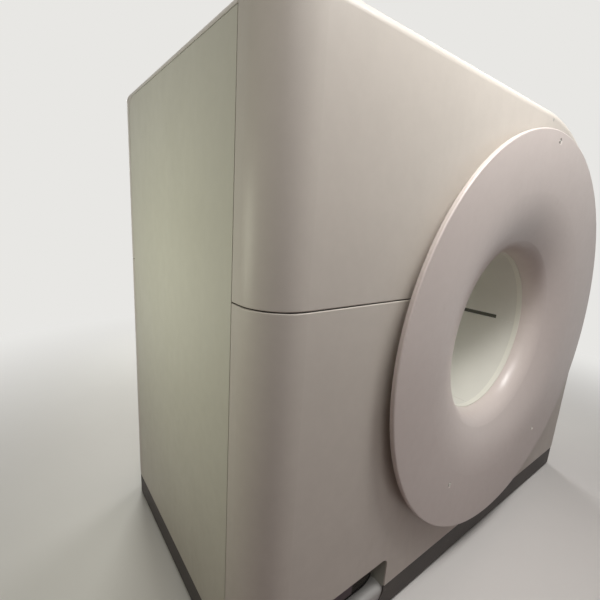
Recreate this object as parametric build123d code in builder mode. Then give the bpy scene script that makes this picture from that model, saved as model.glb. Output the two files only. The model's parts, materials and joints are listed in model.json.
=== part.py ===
"""Gantry of a whole-body scanner that joins an X-ray ring and a gamma detector ring.

Millimetres, +Z up, +X to the right seen from the front, +Y towards the back.
The origin is on the floor under the middle of the gantry's outer box.
Names ending in _D are depths behind the face of the front cover.
"""
from build123d import *
import os
from math import cos, degrees, radians, sin, sqrt

os.makedirs("parts", exist_ok=True)

# Body
BODY_W = 2175.0
BODY_D = 1185.0
TOP_Z = 1855.0
BORE_X = 127.5
BORE_Z = 970.0
BORE_R = 350.0
CORNER_R = 115.0
EDGE_R = 30.0
PANEL_CORNER_R = 60.0

# Covers and their seams
COVER_T = 6.0
FLANGE_W = 25.0
SEAM = 3.0
SEAM_ROUND = 2.5
FRONT_COVER_D = 155.0
REAR_COVER_L = 130.0
SPLIT_Z = 1195.0
SKIRT_TOP = 120.0
SKIRT_T = 4.0
SKIRT_SET_IN = 2.0
FLOOR_GAP = 15.0
SEAT_GAP = 0.3
CUT = 1.0

# Bell mouths and their screws
FRONT_RING_R = 800.0
REAR_RING_R = 620.0
RING_PROUD = 47.0
RIM_L = 15.0
RIM_ROUND = 5.0
RING_T = 6.0
THROAT_D = 100.0
FRONT_ARCS = (5.6, 25.9, 541.0)
REAR_ARCS = (8.3, 26.6, 270.0)
FRONT_RIB_R = 700.0
REAR_RIB_R = 560.0
SEAT_LAND = 100.0
SCREW_TOP_R = 765.0
SCREW_LOW_R = 640.0
SCREW_LOW_ANGLE = 144.0
REAR_SCREW_R = 530.0
BOSS_R = 12.0
SCREW_R = 3.0
SCREW_HEAD_R = 6.5
SCREW_HEAD_H = 4.0
DISH_R = 18.0
DISH_SINK = 3.9
SOCKET_WIDTH = 5.0
SOCKET_SINK = 2.5
LOCK_OFFSET = 25.0
LOCK_Z = 1821.0
LOCK_R = 6.0
LOCK_L = 26.0
LOCK_SLOT_W = 2.0

# Tunnel
LIP_IN = 3.0
LIP_L = 22.0
LIP_T = 15.0
LIP_ROUND = 2.0
LINER_T = 4.0
LINER_JOINT = 1.0
SLOT_D = 212.0
SLOT_L = 300.0
SLOT_H = 19.0
SLOT_LOW = 8.0
LIGHT_BAR_T = 22.0
LIGHT_BAR_H = 40.0

# Recess at the foot of the front cover
NOTCH_INSET = 162.5
NOTCH_W = 400.0
NOTCH_TOP = 245.0
NOTCH_R = 30.0
NOTCH_FOOT_R = 60.0
NOTCH_FOOT_Z = 45.0
RECESS_D = 300.0
RECESS_T = 4.0
RECESS_FLOOR_Z = 111.0
APRON_R = 20.0
APRON_Z = 25.0

# Base, feet and cover frame
FRAME_Z = 100.0
BEAM_H = 100.0
BEAM_W = 140.0
BEAM_T = 10.0
BEAM_CLEAR = 22.5
BEAM_FRONT_D = 50.0
BEAM_REAR_D = 1135.0
CROSS_W = 100.0
CROSS_D = (110.0, 540.0, 1085.0)
OUTRIGGER_D = (470.0, 700.0, 1000.0)
OUTRIGGER_INSET = 52.5
FOOT_R = 55.0
FOOT_T = 18.0
FOOT_BEVEL = 6.0
FOOT_OFFSET = 50.0
STEM_R = 16.0
NUT_R = 26.0
NUT_H = 20.0
TUBE = 40.0
SILL_Z = 60.0
LEFT_RAIL_Z = 1195.0
RIGHT_RAIL_Z = 820.0
TOP_RAIL_X = (-690.0, 60.0)

# Upright frames
PLATE_R = 620.0
STATOR_T = 30.0
STATOR_HOLE_R = 446.0
WINDOW_W = 760.0
WINDOW_H = 150.0
WINDOW_R = 40.0
FOOT_PLATE_T = 20.0
FOOT_PLATE_W = 120.0
GUSSET_T = 15.0
GUSSET_L = 140.0
GUSSET_H = 300.0

# Bearing and rotor
ROTOR_D = 330.0
ROTOR_T = 25.0
ROTOR_IN_R = 385.0
ROTOR_OUT_R = 690.0
RIM_OVERHANG = 12.0
RIM_T = 18.0
ROTOR_HOLES = 12
ROTOR_HOLE_R = 14.0
ROTOR_HOLE_PITCH_R = 657.0
RACE_L = 50.0
RACE_STEP = 5.0
RACE_IN_R = 400.0
RACE_OUT_R = 505.0
ROLLER_PITCH_R = 450.0
ROLLER_R = 13.0
ROLLER_L = 34.0
ROLLERS = 28
ROLLER_GAP = 0.3
CAGE_T = 12.0
CAGE_EDGE = 3.0
SLIP_RING_T = 51.0
SLIP_RING_L = 90.0
TRACKS = 5
TRACK_W = 9.0
TRACK_SINK = 3.0
BRUSH_GAP = 0.4
BRUSH_T = 70.0
BRUSH_W = 80.0
BRUSH_L = 55.0

# X-ray set on the rotor
TUBE_R = 110.0
TUBE_PITCH_R = 560.0
TUBE_L = 185.0
TUBE_ROUND = 25.0
TUBE_SEAT_T = 15.0
SOCKET_R = 22.0
SOCKET_L = 18.0
SOCKET_SPACING = 90.0
COLLIMATOR_T = 46.0
COLLIMATOR_W = 180.0
COLLIMATOR_L = 140.0
SLIT_W = 90.0
SLIT_L = 24.0
ARC_IN_R = 520.0
ARC_OUT_R = 645.0
ARC_HALF_ANGLE = 32.0
ARC_L = 150.0
ARC_WALL = 20.0
TANK_IN_R = 430.0
TANK_OUT_R = 650.0
TANK_W = 250.0
TANK_L = 185.0
TANK_ROUND = 15.0
COOLER_PITCH_R = 545.0
COOLER_SIZE = 190.0
COOLER_L = 110.0
COOLER_ANGLE = 45.0
WELL_R = 84.0
WELL_L = 35.0
COOLER_FAN_R = 78.0
COOLER_FAN_L = 25.0
CONTROLLER_L = 90.0
CONTROLLER_ANGLE = -45.0
WEIGHT_IN_R = 560.0
WEIGHT_OUT_R = 650.0
WEIGHT_W = 110.0
WEIGHT_L = 60.0
WEIGHT_ANGLES = (125.0, 235.0)

# Drive
PULLEY_INSET = 315.5
PULLEY_Z = 430.0
PULLEY_R = 65.0
PULLEY_FLANGE_R = 74.0
PULLEY_FLANGE_T = 3.0
BELT_T = 5.0
BELT_W = 40.0
BELT_GAP = 0.3
SHAFT_R = 14.0
SHAFT_FIT = 0.1
SHAFT_L = 180.0
MOTOR_D = 385.0
MOTOR_R = 95.0
MOTOR_L = 220.0
FINS = 20
FIN_H = 10.0
FIN_T = 5.0
MOUNT_W = 200.0
MOUNT_H = 190.0

# Detector ring
RING_FRAME_D = 600.0
RING_FRAME_T = 25.0
RING_HOLE_R = 380.0
DRUM_R = 606.0
DRUM_T = 10.0
DRUM_L = 290.0
MODULES = 16
MODULE_IN_R = 412.0
MODULE_L = 160.0
MODULE_D = 690.0
MODULE_GAP = 4.0
SHIELD_T = 25.0
SHIELD_IN_R = 362.0

# Cabinets
CABINET_INSET = 57.5
CABINET_CLEAR = 97.5
CABINET_GAP = 40.0
CABINET_L = 380.0
POWER_H = 700.0
ELECTRONICS_H = 600.0
CABINET_ROUND = 8.0
LOUVRES = 8
LOUVRE_L = 240.0
LOUVRE_H = 8.0
LOUVRE_PITCH = 24.0
LOUVRE_SINK = 4.0

# Exhaust fans and the vent above them
VENT_X = -420.0
VENT_D = 605.0
VENT_W = 300.0
VENT_L = 560.0
VENT_SLOTS = 22
VENT_SLOT_L = 250.0
VENT_SLOT_W = 10.0
VENT_PITCH = 24.0
VENT_FLANGE_W = 12.0
VENT_FLANGE_T = 2.0
FAN_SIZE = 240.0
FAN_PITCH = 250.0
FAN_L = 60.0
FAN_DUCT_R = 108.0
FAN_R = 103.0
FAN_WHEEL_L = 42.0
FAN_HUB_R = 38.0
FAN_BLADES = 7
BLADE_T = 3.0
BLADE_PITCH = 35.0
SPIDER_T = 8.0
SPIDER_ARM_W = 14.0
SPINDLE_R = 6.0

# Values worked out from the sizes above
XL, XR = -BODY_W / 2, BODY_W / 2
YF, YB = -BODY_D / 2, BODY_D / 2
BORE = (BORE_X, BORE_Z)
BACK = (0, 1, 0)
BORE_AXIS = Axis((BORE_X, 0, BORE_Z), BACK)
ARCH_R = XR - BORE_X
ARCH_Z = TOP_Z - ARCH_R
REAR_SEAM_D = BODY_D - REAR_COVER_L
SIDE_D = FRONT_COVER_D + SEAM / 2
SIDE_L = REAR_SEAM_D - FRONT_COVER_D - SEAM
SIDE_TOP = TOP_Z - EDGE_R
NOTCH_LEFT = XL + NOTCH_INSET
NOTCH_RIGHT = NOTCH_LEFT + NOTCH_W
FRAME_INSET = COVER_T + SEAT_GAP
BEAM_TOP = FRAME_Z + BEAM_H
LEFT_BEAM_X = NOTCH_RIGHT + BEAM_CLEAR + BEAM_W / 2
BEAM_X = (LEFT_BEAM_X, 2 * BORE_X - LEFT_BEAM_X)
OUTRIGGER_END = XL + OUTRIGGER_INSET
RACE_D = ROTOR_D + ROTOR_T
STATOR_D = RACE_D + RACE_L + RACE_STEP
ROLLER_D = RACE_D + RACE_STEP / 2 + (RACE_L - ROLLER_L) / 2
INNER_RACE_R = ROLLER_PITCH_R - ROLLER_R
OUTER_RACE_R = ROLLER_PITCH_R + ROLLER_R
SLIP_RING_R = ROTOR_IN_R + SLIP_RING_T
BELT_D = ROTOR_D + ROTOR_T / 2 - BELT_W / 2
PULLEY = (XL + PULLEY_INSET, PULLEY_Z)
LINER_D = THROAT_D + LIP_L
LINER_R = BORE_R + LINER_T
LINER_SPLIT_Z = BORE_Z - SLOT_LOW
CABINET_LEFT = XL + CABINET_INSET
CABINET_RIGHT = BEAM_X[0] - FOOT_PLATE_W / 2 - CABINET_CLEAR
CABINET_D = MOTOR_D + MOTOR_L + CABINET_GAP
FAN_TOP_Z = TOP_Z - COVER_T - VENT_FLANGE_T


def deep(distance):
    """Y of a plane this far behind the face of the front cover."""
    return YF + distance


def at_depth(distance):
    """Upright sketch plane at this depth, with X to the right and Z up."""
    return Plane.XZ.offset(-deep(distance))


def around_bore(r, angle):
    """Point at this radius from the bore axis, its angle turning clockwise from the top."""
    return BORE_X + r * sin(radians(angle)), BORE_Z + r * cos(radians(angle))


def save(piece, name):
    """Label a finished piece and write its STEP file."""
    piece.part.label = name
    export_step(piece.part, f"parts/{name}.step")


def oblong(x0, x1, y0, y1):
    """Rectangle between these limits."""
    with BuildSketch() as sheet:
        with Locations(((x0 + x1) / 2, (y0 + y1) / 2)):
            Rectangle(x1 - x0, y1 - y0)
    return sheet.sketch


def sector(r_in, r_out, middle, half):
    """Part of a ring about the bore, centred on an angle clockwise from the top."""
    start = 90 - middle - half
    with BuildSketch() as part_ring:
        with BuildLine():
            CenterArc(BORE, r_in, start, 2 * half)
            CenterArc(BORE, r_out, start, 2 * half)
            for angle in (middle - half, middle + half):
                Line(around_bore(r_in, angle), around_bore(r_out, angle))
        make_face()
    return part_ring.sketch


def radial_block(r_in, r_out, width, angle):
    """Rectangle that stands radially on the rotor at this clock angle."""
    with BuildSketch() as block:
        with Locations(BORE):
            with PolarLocations((r_in + r_out) / 2, 1, start_angle=90 - angle):
                Rectangle(r_out - r_in, width)
    return block.sketch


def body_outline(inset, z_low, corner_r=0.0):
    """Front outline of the body: square upper left corner, arched upper right."""
    left, right, top = XL + inset, XR - inset, TOP_Z - inset
    with BuildSketch() as outline:
        with BuildLine():
            Line((left, z_low), (left, top - corner_r))
            if corner_r:
                CenterArc((left + corner_r, top - corner_r), corner_r, 90, 90)
            Line((left + corner_r, top), (BORE_X, top))
            CenterArc((BORE_X, ARCH_Z), ARCH_R - inset, 0, 90)
            Line((right, ARCH_Z), (right, z_low))
            Line((right, z_low), (left, z_low))
        make_face()
    return outline.sketch


def plan_outline(inset):
    """Plan of the body: large corners on the left, small ones on the right."""
    with BuildSketch() as plan:
        Rectangle(BODY_W - 2 * inset, BODY_D - 2 * inset)
        fillet(plan.vertices().group_by(Axis.X)[0], CORNER_R - inset)
        fillet(plan.vertices().group_by(Axis.X)[-1], EDGE_R - inset)
    return plan.sketch


def cover_block(inset, depth):
    """Solid bounded by a front cover's outer skin, or by its inner face when inset."""
    with BuildPart() as block:
        with BuildSketch(at_depth(inset)):
            add(body_outline(inset, SKIRT_TOP - inset))
        extrude(amount=depth - inset, dir=BACK)
        corner = block.edges().filter_by(Axis.Z).group_by(Axis.Y)[0].sort_by(Axis.X)[0]
        fillet(corner, CORNER_R - inset)
        brow = block.edges().filter_by(Axis.X).group_by(Axis.Z)[-1].sort_by(Axis.Y)[0]
        fillet(brow, EDGE_R - inset)
    return block.part


def cover_half(depth, hole_r, screws, upper):
    """Upper or lower half of a front cover: a skin with a turned-in flange at the seam."""
    side = 1 if upper else -1
    keep = Keep.TOP if upper else Keep.BOTTOM
    seam = SPLIT_Z + side * SEAM / 2
    arch_x = BORE_X + sqrt((ARCH_R - COVER_T) ** 2 - (SPLIT_Z - ARCH_Z) ** 2)
    inside = cover_block(COVER_T, depth + CUT)
    with BuildPart() as cavity:
        add(inside)
        split(bisect_by=Plane.XY.offset(seam + side * COVER_T), keep=keep)
    with BuildPart() as frame_space:
        add(inside)
        split(bisect_by=at_depth(depth - TUBE / 2), keep=Keep.BOTTOM)
    with BuildPart() as half:
        add(cover_block(0, depth))
        split(bisect_by=Plane.XY.offset(seam), keep=keep)
        seam_edges = half.edges().group_by(Axis.Z)[0 if upper else -1].sort_by(Axis.Y)
        fillet(seam_edges[:-1], SEAM_ROUND)
        add(cavity.part, mode=Mode.SUBTRACT)
        add(frame_space.part, mode=Mode.SUBTRACT)
        with BuildSketch(Plane.XY.offset(seam)) as opening:
            edge = COVER_T + FLANGE_W
            add(oblong(XL + edge, arch_x - FLANGE_W, YF + edge, deep(depth + CUT)))
            front = opening.vertices().group_by(Axis.Y)[0]
            fillet(front.sort_by(Axis.X)[0], CORNER_R - edge)
        extrude(amount=side * (COVER_T + CUT), mode=Mode.SUBTRACT)
        with BuildSketch(at_depth(-CUT)):
            with Locations(BORE):
                Circle(hole_r)
            with Locations(*screws):
                Circle(SCREW_R + SEAT_GAP)
        extrude(amount=edge + 2 * CUT, dir=BACK, mode=Mode.SUBTRACT)
    return half.part


def doorway(grow, z_low):
    """Front view of the recess: a low opening with rounded upper corners."""
    with BuildSketch() as door:
        add(oblong(NOTCH_LEFT - grow, NOTCH_RIGHT + grow, z_low, NOTCH_TOP + grow))
        fillet(door.vertices().group_by(Axis.Y)[-1], NOTCH_R + grow)
    return door.sketch


def bell_arcs(ring_r, arcs):
    """Centres, radii and angles of the three tangent arcs from the rim in to the throat.

    Two turning angles and the middle radius are given. The outer and inner radii follow
    from the bell's reach and drop.
    """
    a, b, middle_r = radians(arcs[0]), radians(arcs[1]), arcs[2]
    outer = ring_r - RIM_ROUND
    reach = outer - BORE_R - middle_r * (sin(b) - sin(a))
    drop = RING_PROUD + THROAT_D - middle_r * (cos(a) - cos(b))
    scale = sin(a) * cos(b) - (1 - cos(a)) * (1 - sin(b))
    outer_r = (reach * cos(b) - drop * (1 - sin(b))) / scale
    inner_r = (drop * sin(a) - reach * (1 - cos(a))) / scale
    r, depth = outer, outer_r - RING_PROUD
    chain = [(r, depth, outer_r, 0.0, arcs[0])]
    steps = ((outer_r, middle_r, arcs[0], arcs[1]), (middle_r, inner_r, arcs[1], 90.0))
    for before, after, turn, end in steps:
        r -= (before - after) * sin(radians(turn))
        depth -= (before - after) * cos(radians(turn))
        chain.append((r, depth, after, turn, end))
    return chain


def bell_depth(r, chain):
    """Depth of the bell's face at this radius from the bore axis."""
    for centre_r, centre_d, arc_r, start, end in chain:
        if r >= centre_r - arc_r * sin(radians(end)):
            return centre_d - sqrt(arc_r ** 2 - (centre_r - r) ** 2)
    raise ValueError("radius inside the throat")


def bell_mouth(ring_r, rib_r, arcs, screws):
    """Moulded bell mouth with turned-back rim, seat rib and dished screw bosses, at the front."""
    chain = bell_arcs(ring_r, arcs)
    front = deep(-RING_PROUD)
    rim = BORE_X + ring_r
    inner = rim - RIM_ROUND
    throat = BORE_X + BORE_R
    with BuildPart() as bell:
        with BuildSketch(Plane.XY.offset(BORE_Z)):
            with BuildLine():
                for centre_r, centre_d, arc_r, start, end in chain:
                    centre = (BORE_X + centre_r, deep(centre_d))
                    CenterArc(centre, arc_r, 270 - end, end - start)
                    CenterArc(centre, arc_r - RING_T, 270 - end, end - start)
                Line((throat, deep(THROAT_D)), (throat + RING_T, deep(THROAT_D)))
                Polyline((inner, front + RING_T), (inner, front + RIM_L), (rim, front + RIM_L),
                         (rim, front + RIM_ROUND))
                RadiusArc((rim, front + RIM_ROUND), (inner, front), RIM_ROUND)
            make_face()
        revolve(axis=BORE_AXIS)
        with BuildSketch(at_depth(0)):
            with Locations(BORE):
                Circle(rib_r)
                Circle(rib_r - RING_T, mode=Mode.SUBTRACT)
        extrude(amount=-bell_depth(rib_r, chain) - RING_T / 2)
        heads = []
        for x, z in screws:
            sunk = bell_depth(sqrt((x - BORE_X) ** 2 + (z - BORE_Z) ** 2), chain)
            heads.append((x, z, sunk + SCREW_HEAD_H))
            with BuildSketch(at_depth(0)):
                with Locations((x, z)):
                    Circle(BOSS_R)
            extrude(amount=-sunk - RING_T / 2)
        for x, z, seat in heads:
            with BuildSketch(at_depth(seat)):
                with Locations((x, z)):
                    Circle(SCREW_HEAD_R + SEAT_GAP)
            extrude(amount=RING_PROUD, mode=Mode.SUBTRACT)
            with Locations((x, deep(seat - SCREW_HEAD_H + DISH_SINK - DISH_R), z)):
                Sphere(DISH_R, mode=Mode.SUBTRACT)
        with BuildSketch(at_depth(CUT)):
            with Locations(*screws):
                Circle(SCREW_R + SEAT_GAP)
        extrude(amount=RING_PROUD, mode=Mode.SUBTRACT)
    return bell.part


def screw_set(ring_r, arcs, screws):
    """Socket-head screws from the bell's face through the cover behind it, at the front."""
    chain = bell_arcs(ring_r, arcs)
    with BuildPart() as group:
        for x, z in screws:
            seat = bell_depth(sqrt((x - BORE_X) ** 2 + (z - BORE_Z) ** 2), chain) + SCREW_HEAD_H
            with BuildSketch(at_depth(seat)):
                with Locations((x, z)):
                    Circle(SCREW_HEAD_R)
            extrude(amount=SCREW_HEAD_H)
            with BuildSketch(at_depth(seat - SCREW_HEAD_H)):
                with Locations((x, z)):
                    RegularPolygon(SOCKET_WIDTH / 2, 6, major_radius=False)
            extrude(amount=SOCKET_SINK, dir=BACK, mode=Mode.SUBTRACT)
            with BuildSketch(at_depth(seat)):
                with Locations((x, z)):
                    Circle(SCREW_R)
            extrude(amount=COVER_T - seat, dir=BACK)
    return group.part


def throat_lip():
    """Stepped ring between the front bell mouth and the tunnel liner."""
    with BuildPart() as lip:
        with BuildSketch(at_depth(THROAT_D)):
            with Locations(BORE):
                Circle(BORE_R - LIP_IN + LIP_T)
                Circle(BORE_R - LIP_IN, mode=Mode.SUBTRACT)
        extrude(amount=LIP_L, dir=BACK)
        mouth = lip.edges().filter_by(GeomType.CIRCLE).group_by(Axis.Y)[0].sort_by(SortBy.RADIUS)[0]
        fillet(mouth, LIP_ROUND)
    return lip.part


def liner_piece(x0, x1, z0, z1):
    """Part of the tunnel liner inside this upright window."""
    with BuildPart() as piece:
        with BuildSketch(at_depth(LINER_D)):
            with Locations(BORE):
                Circle(LINER_R)
                Circle(BORE_R, mode=Mode.SUBTRACT)
            add(oblong(x0, x1, z0, z1), mode=Mode.INTERSECT)
        extrude(amount=BODY_D - 2 * LINER_D, dir=BACK)
    return piece.part


def skin_band():
    """Section of the skin between the two seams, open at the bottom."""
    with BuildSketch() as band:
        add(body_outline(0, SKIRT_TOP, EDGE_R))
        add(body_outline(COVER_T, SKIRT_TOP - CUT, EDGE_R - COVER_T), mode=Mode.SUBTRACT)
    return band.sketch


def skirt(x0, x1, y0, y1):
    """Stretch of the low skirt inside this plan window."""
    with BuildPart() as strip:
        with BuildSketch(Plane.XY.offset(FLOOR_GAP)):
            add(plan_outline(SKIRT_SET_IN))
            add(plan_outline(SKIRT_SET_IN + SKIRT_T), mode=Mode.SUBTRACT)
            add(oblong(x0, x1, y0, y1), mode=Mode.INTERSECT)
        extrude(amount=SKIRT_TOP - FLOOR_GAP)
    return strip.part


def upright_frame(depth, thickness, hole_r):
    """Plate on the two base beams that carries a ring, with foot plates and gussets."""
    with BuildPart() as frame:
        with BuildSketch(at_depth(depth)) as plate:
            half = FOOT_PLATE_W / 2
            add(oblong(BEAM_X[0] - half, BEAM_X[1] + half, BEAM_TOP, BORE_Z))
            with Locations(BORE):
                Circle(PLATE_R)
                Circle(hole_r, mode=Mode.SUBTRACT)
            half = WINDOW_W / 2
            add(oblong(BORE_X - half, BORE_X + half, BEAM_TOP - CUT, BEAM_TOP + WINDOW_H), mode=Mode.SUBTRACT)
            corners = plate.vertices().filter_by_position(Axis.Y, BEAM_TOP + CUT, BEAM_TOP + WINDOW_H + CUT)
            fillet(corners, WINDOW_R)
        extrude(amount=thickness, dir=BACK)
        rear = deep(depth + thickness)
        for x in BEAM_X:
            with BuildSketch(Plane.XY.offset(BEAM_TOP)):
                half = FOOT_PLATE_W / 2
                add(oblong(x - half, x + half, rear - CUT, rear + GUSSET_L))
            extrude(amount=FOOT_PLATE_T)
            with BuildSketch(Plane.YZ.offset(x - GUSSET_T / 2)):
                with BuildLine():
                    Polyline((rear - CUT, BEAM_TOP), (rear + GUSSET_L, BEAM_TOP),
                             (rear + GUSSET_L, BEAM_TOP + FOOT_PLATE_T),
                             (rear - CUT, BEAM_TOP + GUSSET_H), close=True)
                make_face()
            extrude(amount=GUSSET_T)
    return frame.part


def fan_wheel(hub_base, tip_r, length):
    """Axial fan wheel bored for its spindle, standing on this plane."""
    with BuildPart(hub_base) as wheel:
        Cylinder(FAN_HUB_R, length, align=(Align.CENTER, Align.CENTER, Align.MIN))
        span = tip_r - FAN_HUB_R + BLADE_T
        with Locations((0, 0, length / 2)):
            with PolarLocations(tip_r - span / 2, FAN_BLADES):
                Box(span, BLADE_T, length, rotation=(BLADE_PITCH, 0, 0))
        Cylinder(SPINDLE_R + SHAFT_FIT, 3 * length, mode=Mode.SUBTRACT)
    return wheel.part


def belt_path(grow):
    """Outline wrapped round the rotor's rim and the motor pulley."""
    with BuildSketch() as loop:
        with Locations(BORE):
            Circle(ROTOR_OUT_R + grow)
        with Locations(PULLEY):
            Circle(PULLEY_R + grow)
        make_hull()
    return loop.sketch


def cabinet(z_low, height):
    """Closed electronics cabinet with louvres pressed into its left side."""
    with BuildPart() as box:
        with BuildSketch(Plane.XY.offset(z_low)):
            y0 = deep(CABINET_D)
            add(oblong(CABINET_LEFT, CABINET_RIGHT, y0, y0 + CABINET_L))
        extrude(amount=height)
        fillet(box.edges().filter_by(Axis.Z), CABINET_ROUND)
        with BuildSketch(Plane.YZ.offset(CABINET_LEFT)):
            with Locations((deep(CABINET_D) + CABINET_L / 2, z_low + height / 2)):
                with GridLocations(0, LOUVRE_PITCH, 1, LOUVRES):
                    SlotOverall(LOUVRE_L, LOUVRE_H)
        extrude(amount=LOUVRE_SINK, mode=Mode.SUBTRACT)
    return box.part


# Front bell mouth with one high and two low screws
low_screws = [around_bore(SCREW_LOW_R, side * SCREW_LOW_ANGLE) for side in (1, -1)]
front_screws = [around_bore(SCREW_TOP_R, 0)] + low_screws
with BuildPart() as front_bell_mouth:
    add(bell_mouth(FRONT_RING_R, FRONT_RIB_R, FRONT_ARCS, front_screws))
with BuildPart() as front_bell_screws:
    add(screw_set(FRONT_RING_R, FRONT_ARCS, front_screws))

# Rear bell mouth with four screws
rear_screws = [around_bore(REAR_SCREW_R, angle) for angle in (45, 135, 225, 315)]
with BuildPart() as rear_bell_mouth:
    bell = bell_mouth(REAR_RING_R, REAR_RIB_R, REAR_ARCS, rear_screws)
    add(mirror(bell, about=Plane.XZ, mode=Mode.PRIVATE))
with BuildPart() as rear_bell_screws:
    group = screw_set(REAR_RING_R, REAR_ARCS, rear_screws)
    add(mirror(group, about=Plane.XZ, mode=Mode.PRIVATE))

# Upper front cover, with the hole for its lock at the brow
with BuildPart() as front_cover_upper:
    add(cover_half(FRONT_COVER_D - SEAM / 2, FRONT_RIB_R - SEAT_LAND, front_screws, True))
    with BuildSketch(at_depth(-CUT)):
        with Locations((BORE_X + LOCK_OFFSET, LOCK_Z)):
            Circle(LOCK_R + SEAT_GAP)
    extrude(amount=COVER_T + 2 * CUT, dir=BACK, mode=Mode.SUBTRACT)

# Lock of the upper front cover
with BuildPart() as cover_lock:
    with BuildSketch(at_depth(0)):
        with Locations((BORE_X + LOCK_OFFSET, LOCK_Z)):
            Circle(LOCK_R)
    extrude(amount=LOCK_L, dir=BACK)
    with BuildSketch(at_depth(0)):
        with Locations((BORE_X + LOCK_OFFSET, LOCK_Z)):
            Rectangle(LOCK_SLOT_W, 2 * LOCK_R)
    extrude(amount=LOCK_SLOT_W, dir=BACK, mode=Mode.SUBTRACT)

# Lower front cover, with the recess cut out of its foot
with BuildPart() as front_cover_lower:
    add(cover_half(FRONT_COVER_D - SEAM / 2, FRONT_RIB_R - SEAT_LAND, front_screws, False))
    with BuildSketch(at_depth(-CUT)):
        add(doorway(0, SKIRT_TOP - CUT))
    extrude(amount=COVER_T + 2 * CUT, dir=BACK, mode=Mode.SUBTRACT)

# Rear covers
for upper, name in ((True, "rear_cover_upper"), (False, "rear_cover_lower")):
    with BuildPart() as rear_cover:
        half = cover_half(REAR_COVER_L - SEAM / 2, REAR_RIB_R - SEAT_LAND, rear_screws, upper)
        add(mirror(half, about=Plane.XZ, mode=Mode.PRIVATE))
    save(rear_cover, name)

# Flat panel on the left side, with its rear top corner rounded
with BuildPart() as side_panel_left:
    with BuildSketch(Plane.YZ.offset(XL)) as panel:
        add(oblong(deep(SIDE_D), deep(SIDE_D + SIDE_L), SKIRT_TOP, SIDE_TOP - SEAM / 2))
        top = panel.vertices().group_by(Axis.Y)[-1]
        fillet(top.sort_by(Axis.X)[-1], PANEL_CORNER_R)
    extrude(amount=COVER_T)

# Right side panel, whose upper part follows the arch
with BuildPart() as side_panel_right:
    with BuildSketch(at_depth(SIDE_D)):
        add(skin_band())
        add(oblong(BORE_X, XR + CUT, SKIRT_TOP - CUT, SPLIT_Z - SEAM / 2), mode=Mode.INTERSECT)
    extrude(amount=SIDE_L, dir=BACK)

# Roof between the two seams, down to the left panel and over the arch
with BuildPart() as top_cover:
    with BuildSketch(at_depth(SIDE_D)):
        add(skin_band())
        low = SKIRT_TOP - 2 * CUT
        add(oblong(XL - CUT, BORE_X, low, SIDE_TOP + SEAM / 2), mode=Mode.SUBTRACT)
        add(oblong(BORE_X, XR + CUT, low, SPLIT_Z + SEAM / 2), mode=Mode.SUBTRACT)
    extrude(amount=SIDE_L, dir=BACK)
    with BuildSketch(Plane.YZ.offset(XL)):
        y1 = deep(SIDE_D + SIDE_L)
        z1 = SIDE_TOP - SEAM / 2
        add(oblong(y1 - PANEL_CORNER_R, y1, z1 - PANEL_CORNER_R, SIDE_TOP + SEAM / 2))
        with Locations((y1 - PANEL_CORNER_R, z1 - PANEL_CORNER_R)):
            Circle(PANEL_CORNER_R + SEAM, mode=Mode.SUBTRACT)
    extrude(amount=COVER_T)
    with BuildSketch(Plane.XY.offset(TOP_Z + CUT)):
        with Locations((VENT_X, deep(VENT_D))):
            Rectangle(VENT_W, VENT_L)
    extrude(amount=-COVER_T - 2 * CUT, mode=Mode.SUBTRACT)

# Vent grille that lies flush in the roof on a thin flange
with BuildPart() as top_vent_grille:
    with BuildSketch(Plane.XY.offset(TOP_Z)):
        with Locations((VENT_X, deep(VENT_D))):
            Rectangle(VENT_W - 2 * SEAT_GAP, VENT_L - 2 * SEAT_GAP)
    extrude(amount=-COVER_T)
    with BuildSketch(Plane.XY.offset(TOP_Z - COVER_T)):
        with Locations((VENT_X, deep(VENT_D))):
            Rectangle(VENT_W + 2 * VENT_FLANGE_W, VENT_L + 2 * VENT_FLANGE_W)
    extrude(amount=-VENT_FLANGE_T)
    with BuildSketch(Plane.XY.offset(TOP_Z)):
        with Locations((VENT_X, deep(VENT_D))):
            with GridLocations(0, VENT_PITCH, 1, VENT_SLOTS):
                Rectangle(VENT_SLOT_L, VENT_SLOT_W)
    extrude(amount=-COVER_T - VENT_FLANGE_T, mode=Mode.SUBTRACT)

# Skirt round the foot, its front stretch cut out under the recess
with BuildPart() as skirt_front:
    add(skirt(XL, XR, YF, deep(FRONT_COVER_D - SEAM / 2)))
    with BuildSketch(at_depth(0)) as cut_out:
        add(oblong(NOTCH_LEFT, NOTCH_RIGHT, NOTCH_FOOT_Z, SKIRT_TOP + CUT))
        fillet(cut_out.vertices().group_by(Axis.Y)[0], NOTCH_FOOT_R)
    extrude(amount=SKIRT_SET_IN + SKIRT_T + CUT, dir=BACK, mode=Mode.SUBTRACT)
with BuildPart() as skirt_left:
    add(skirt(XL, 0, deep(SIDE_D), deep(SIDE_D + SIDE_L)))
with BuildPart() as skirt_right:
    add(skirt(0, XR, deep(SIDE_D), deep(SIDE_D + SIDE_L)))
with BuildPart() as skirt_rear:
    add(skirt(XL, XR, deep(REAR_SEAM_D + SEAM / 2), YB))

# Lining of the recess: one moulding with rounded upper corners and a back wall
with BuildPart() as recess_liner:
    with BuildSketch(at_depth(COVER_T)):
        add(doorway(RECESS_T, RECESS_FLOOR_Z))
    extrude(amount=RECESS_D + RECESS_T - COVER_T, dir=BACK)
    with BuildSketch(at_depth(COVER_T)):
        add(doorway(0, RECESS_FLOOR_Z - CUT))
    extrude(amount=RECESS_D - COVER_T, dir=BACK, mode=Mode.SUBTRACT)

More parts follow.
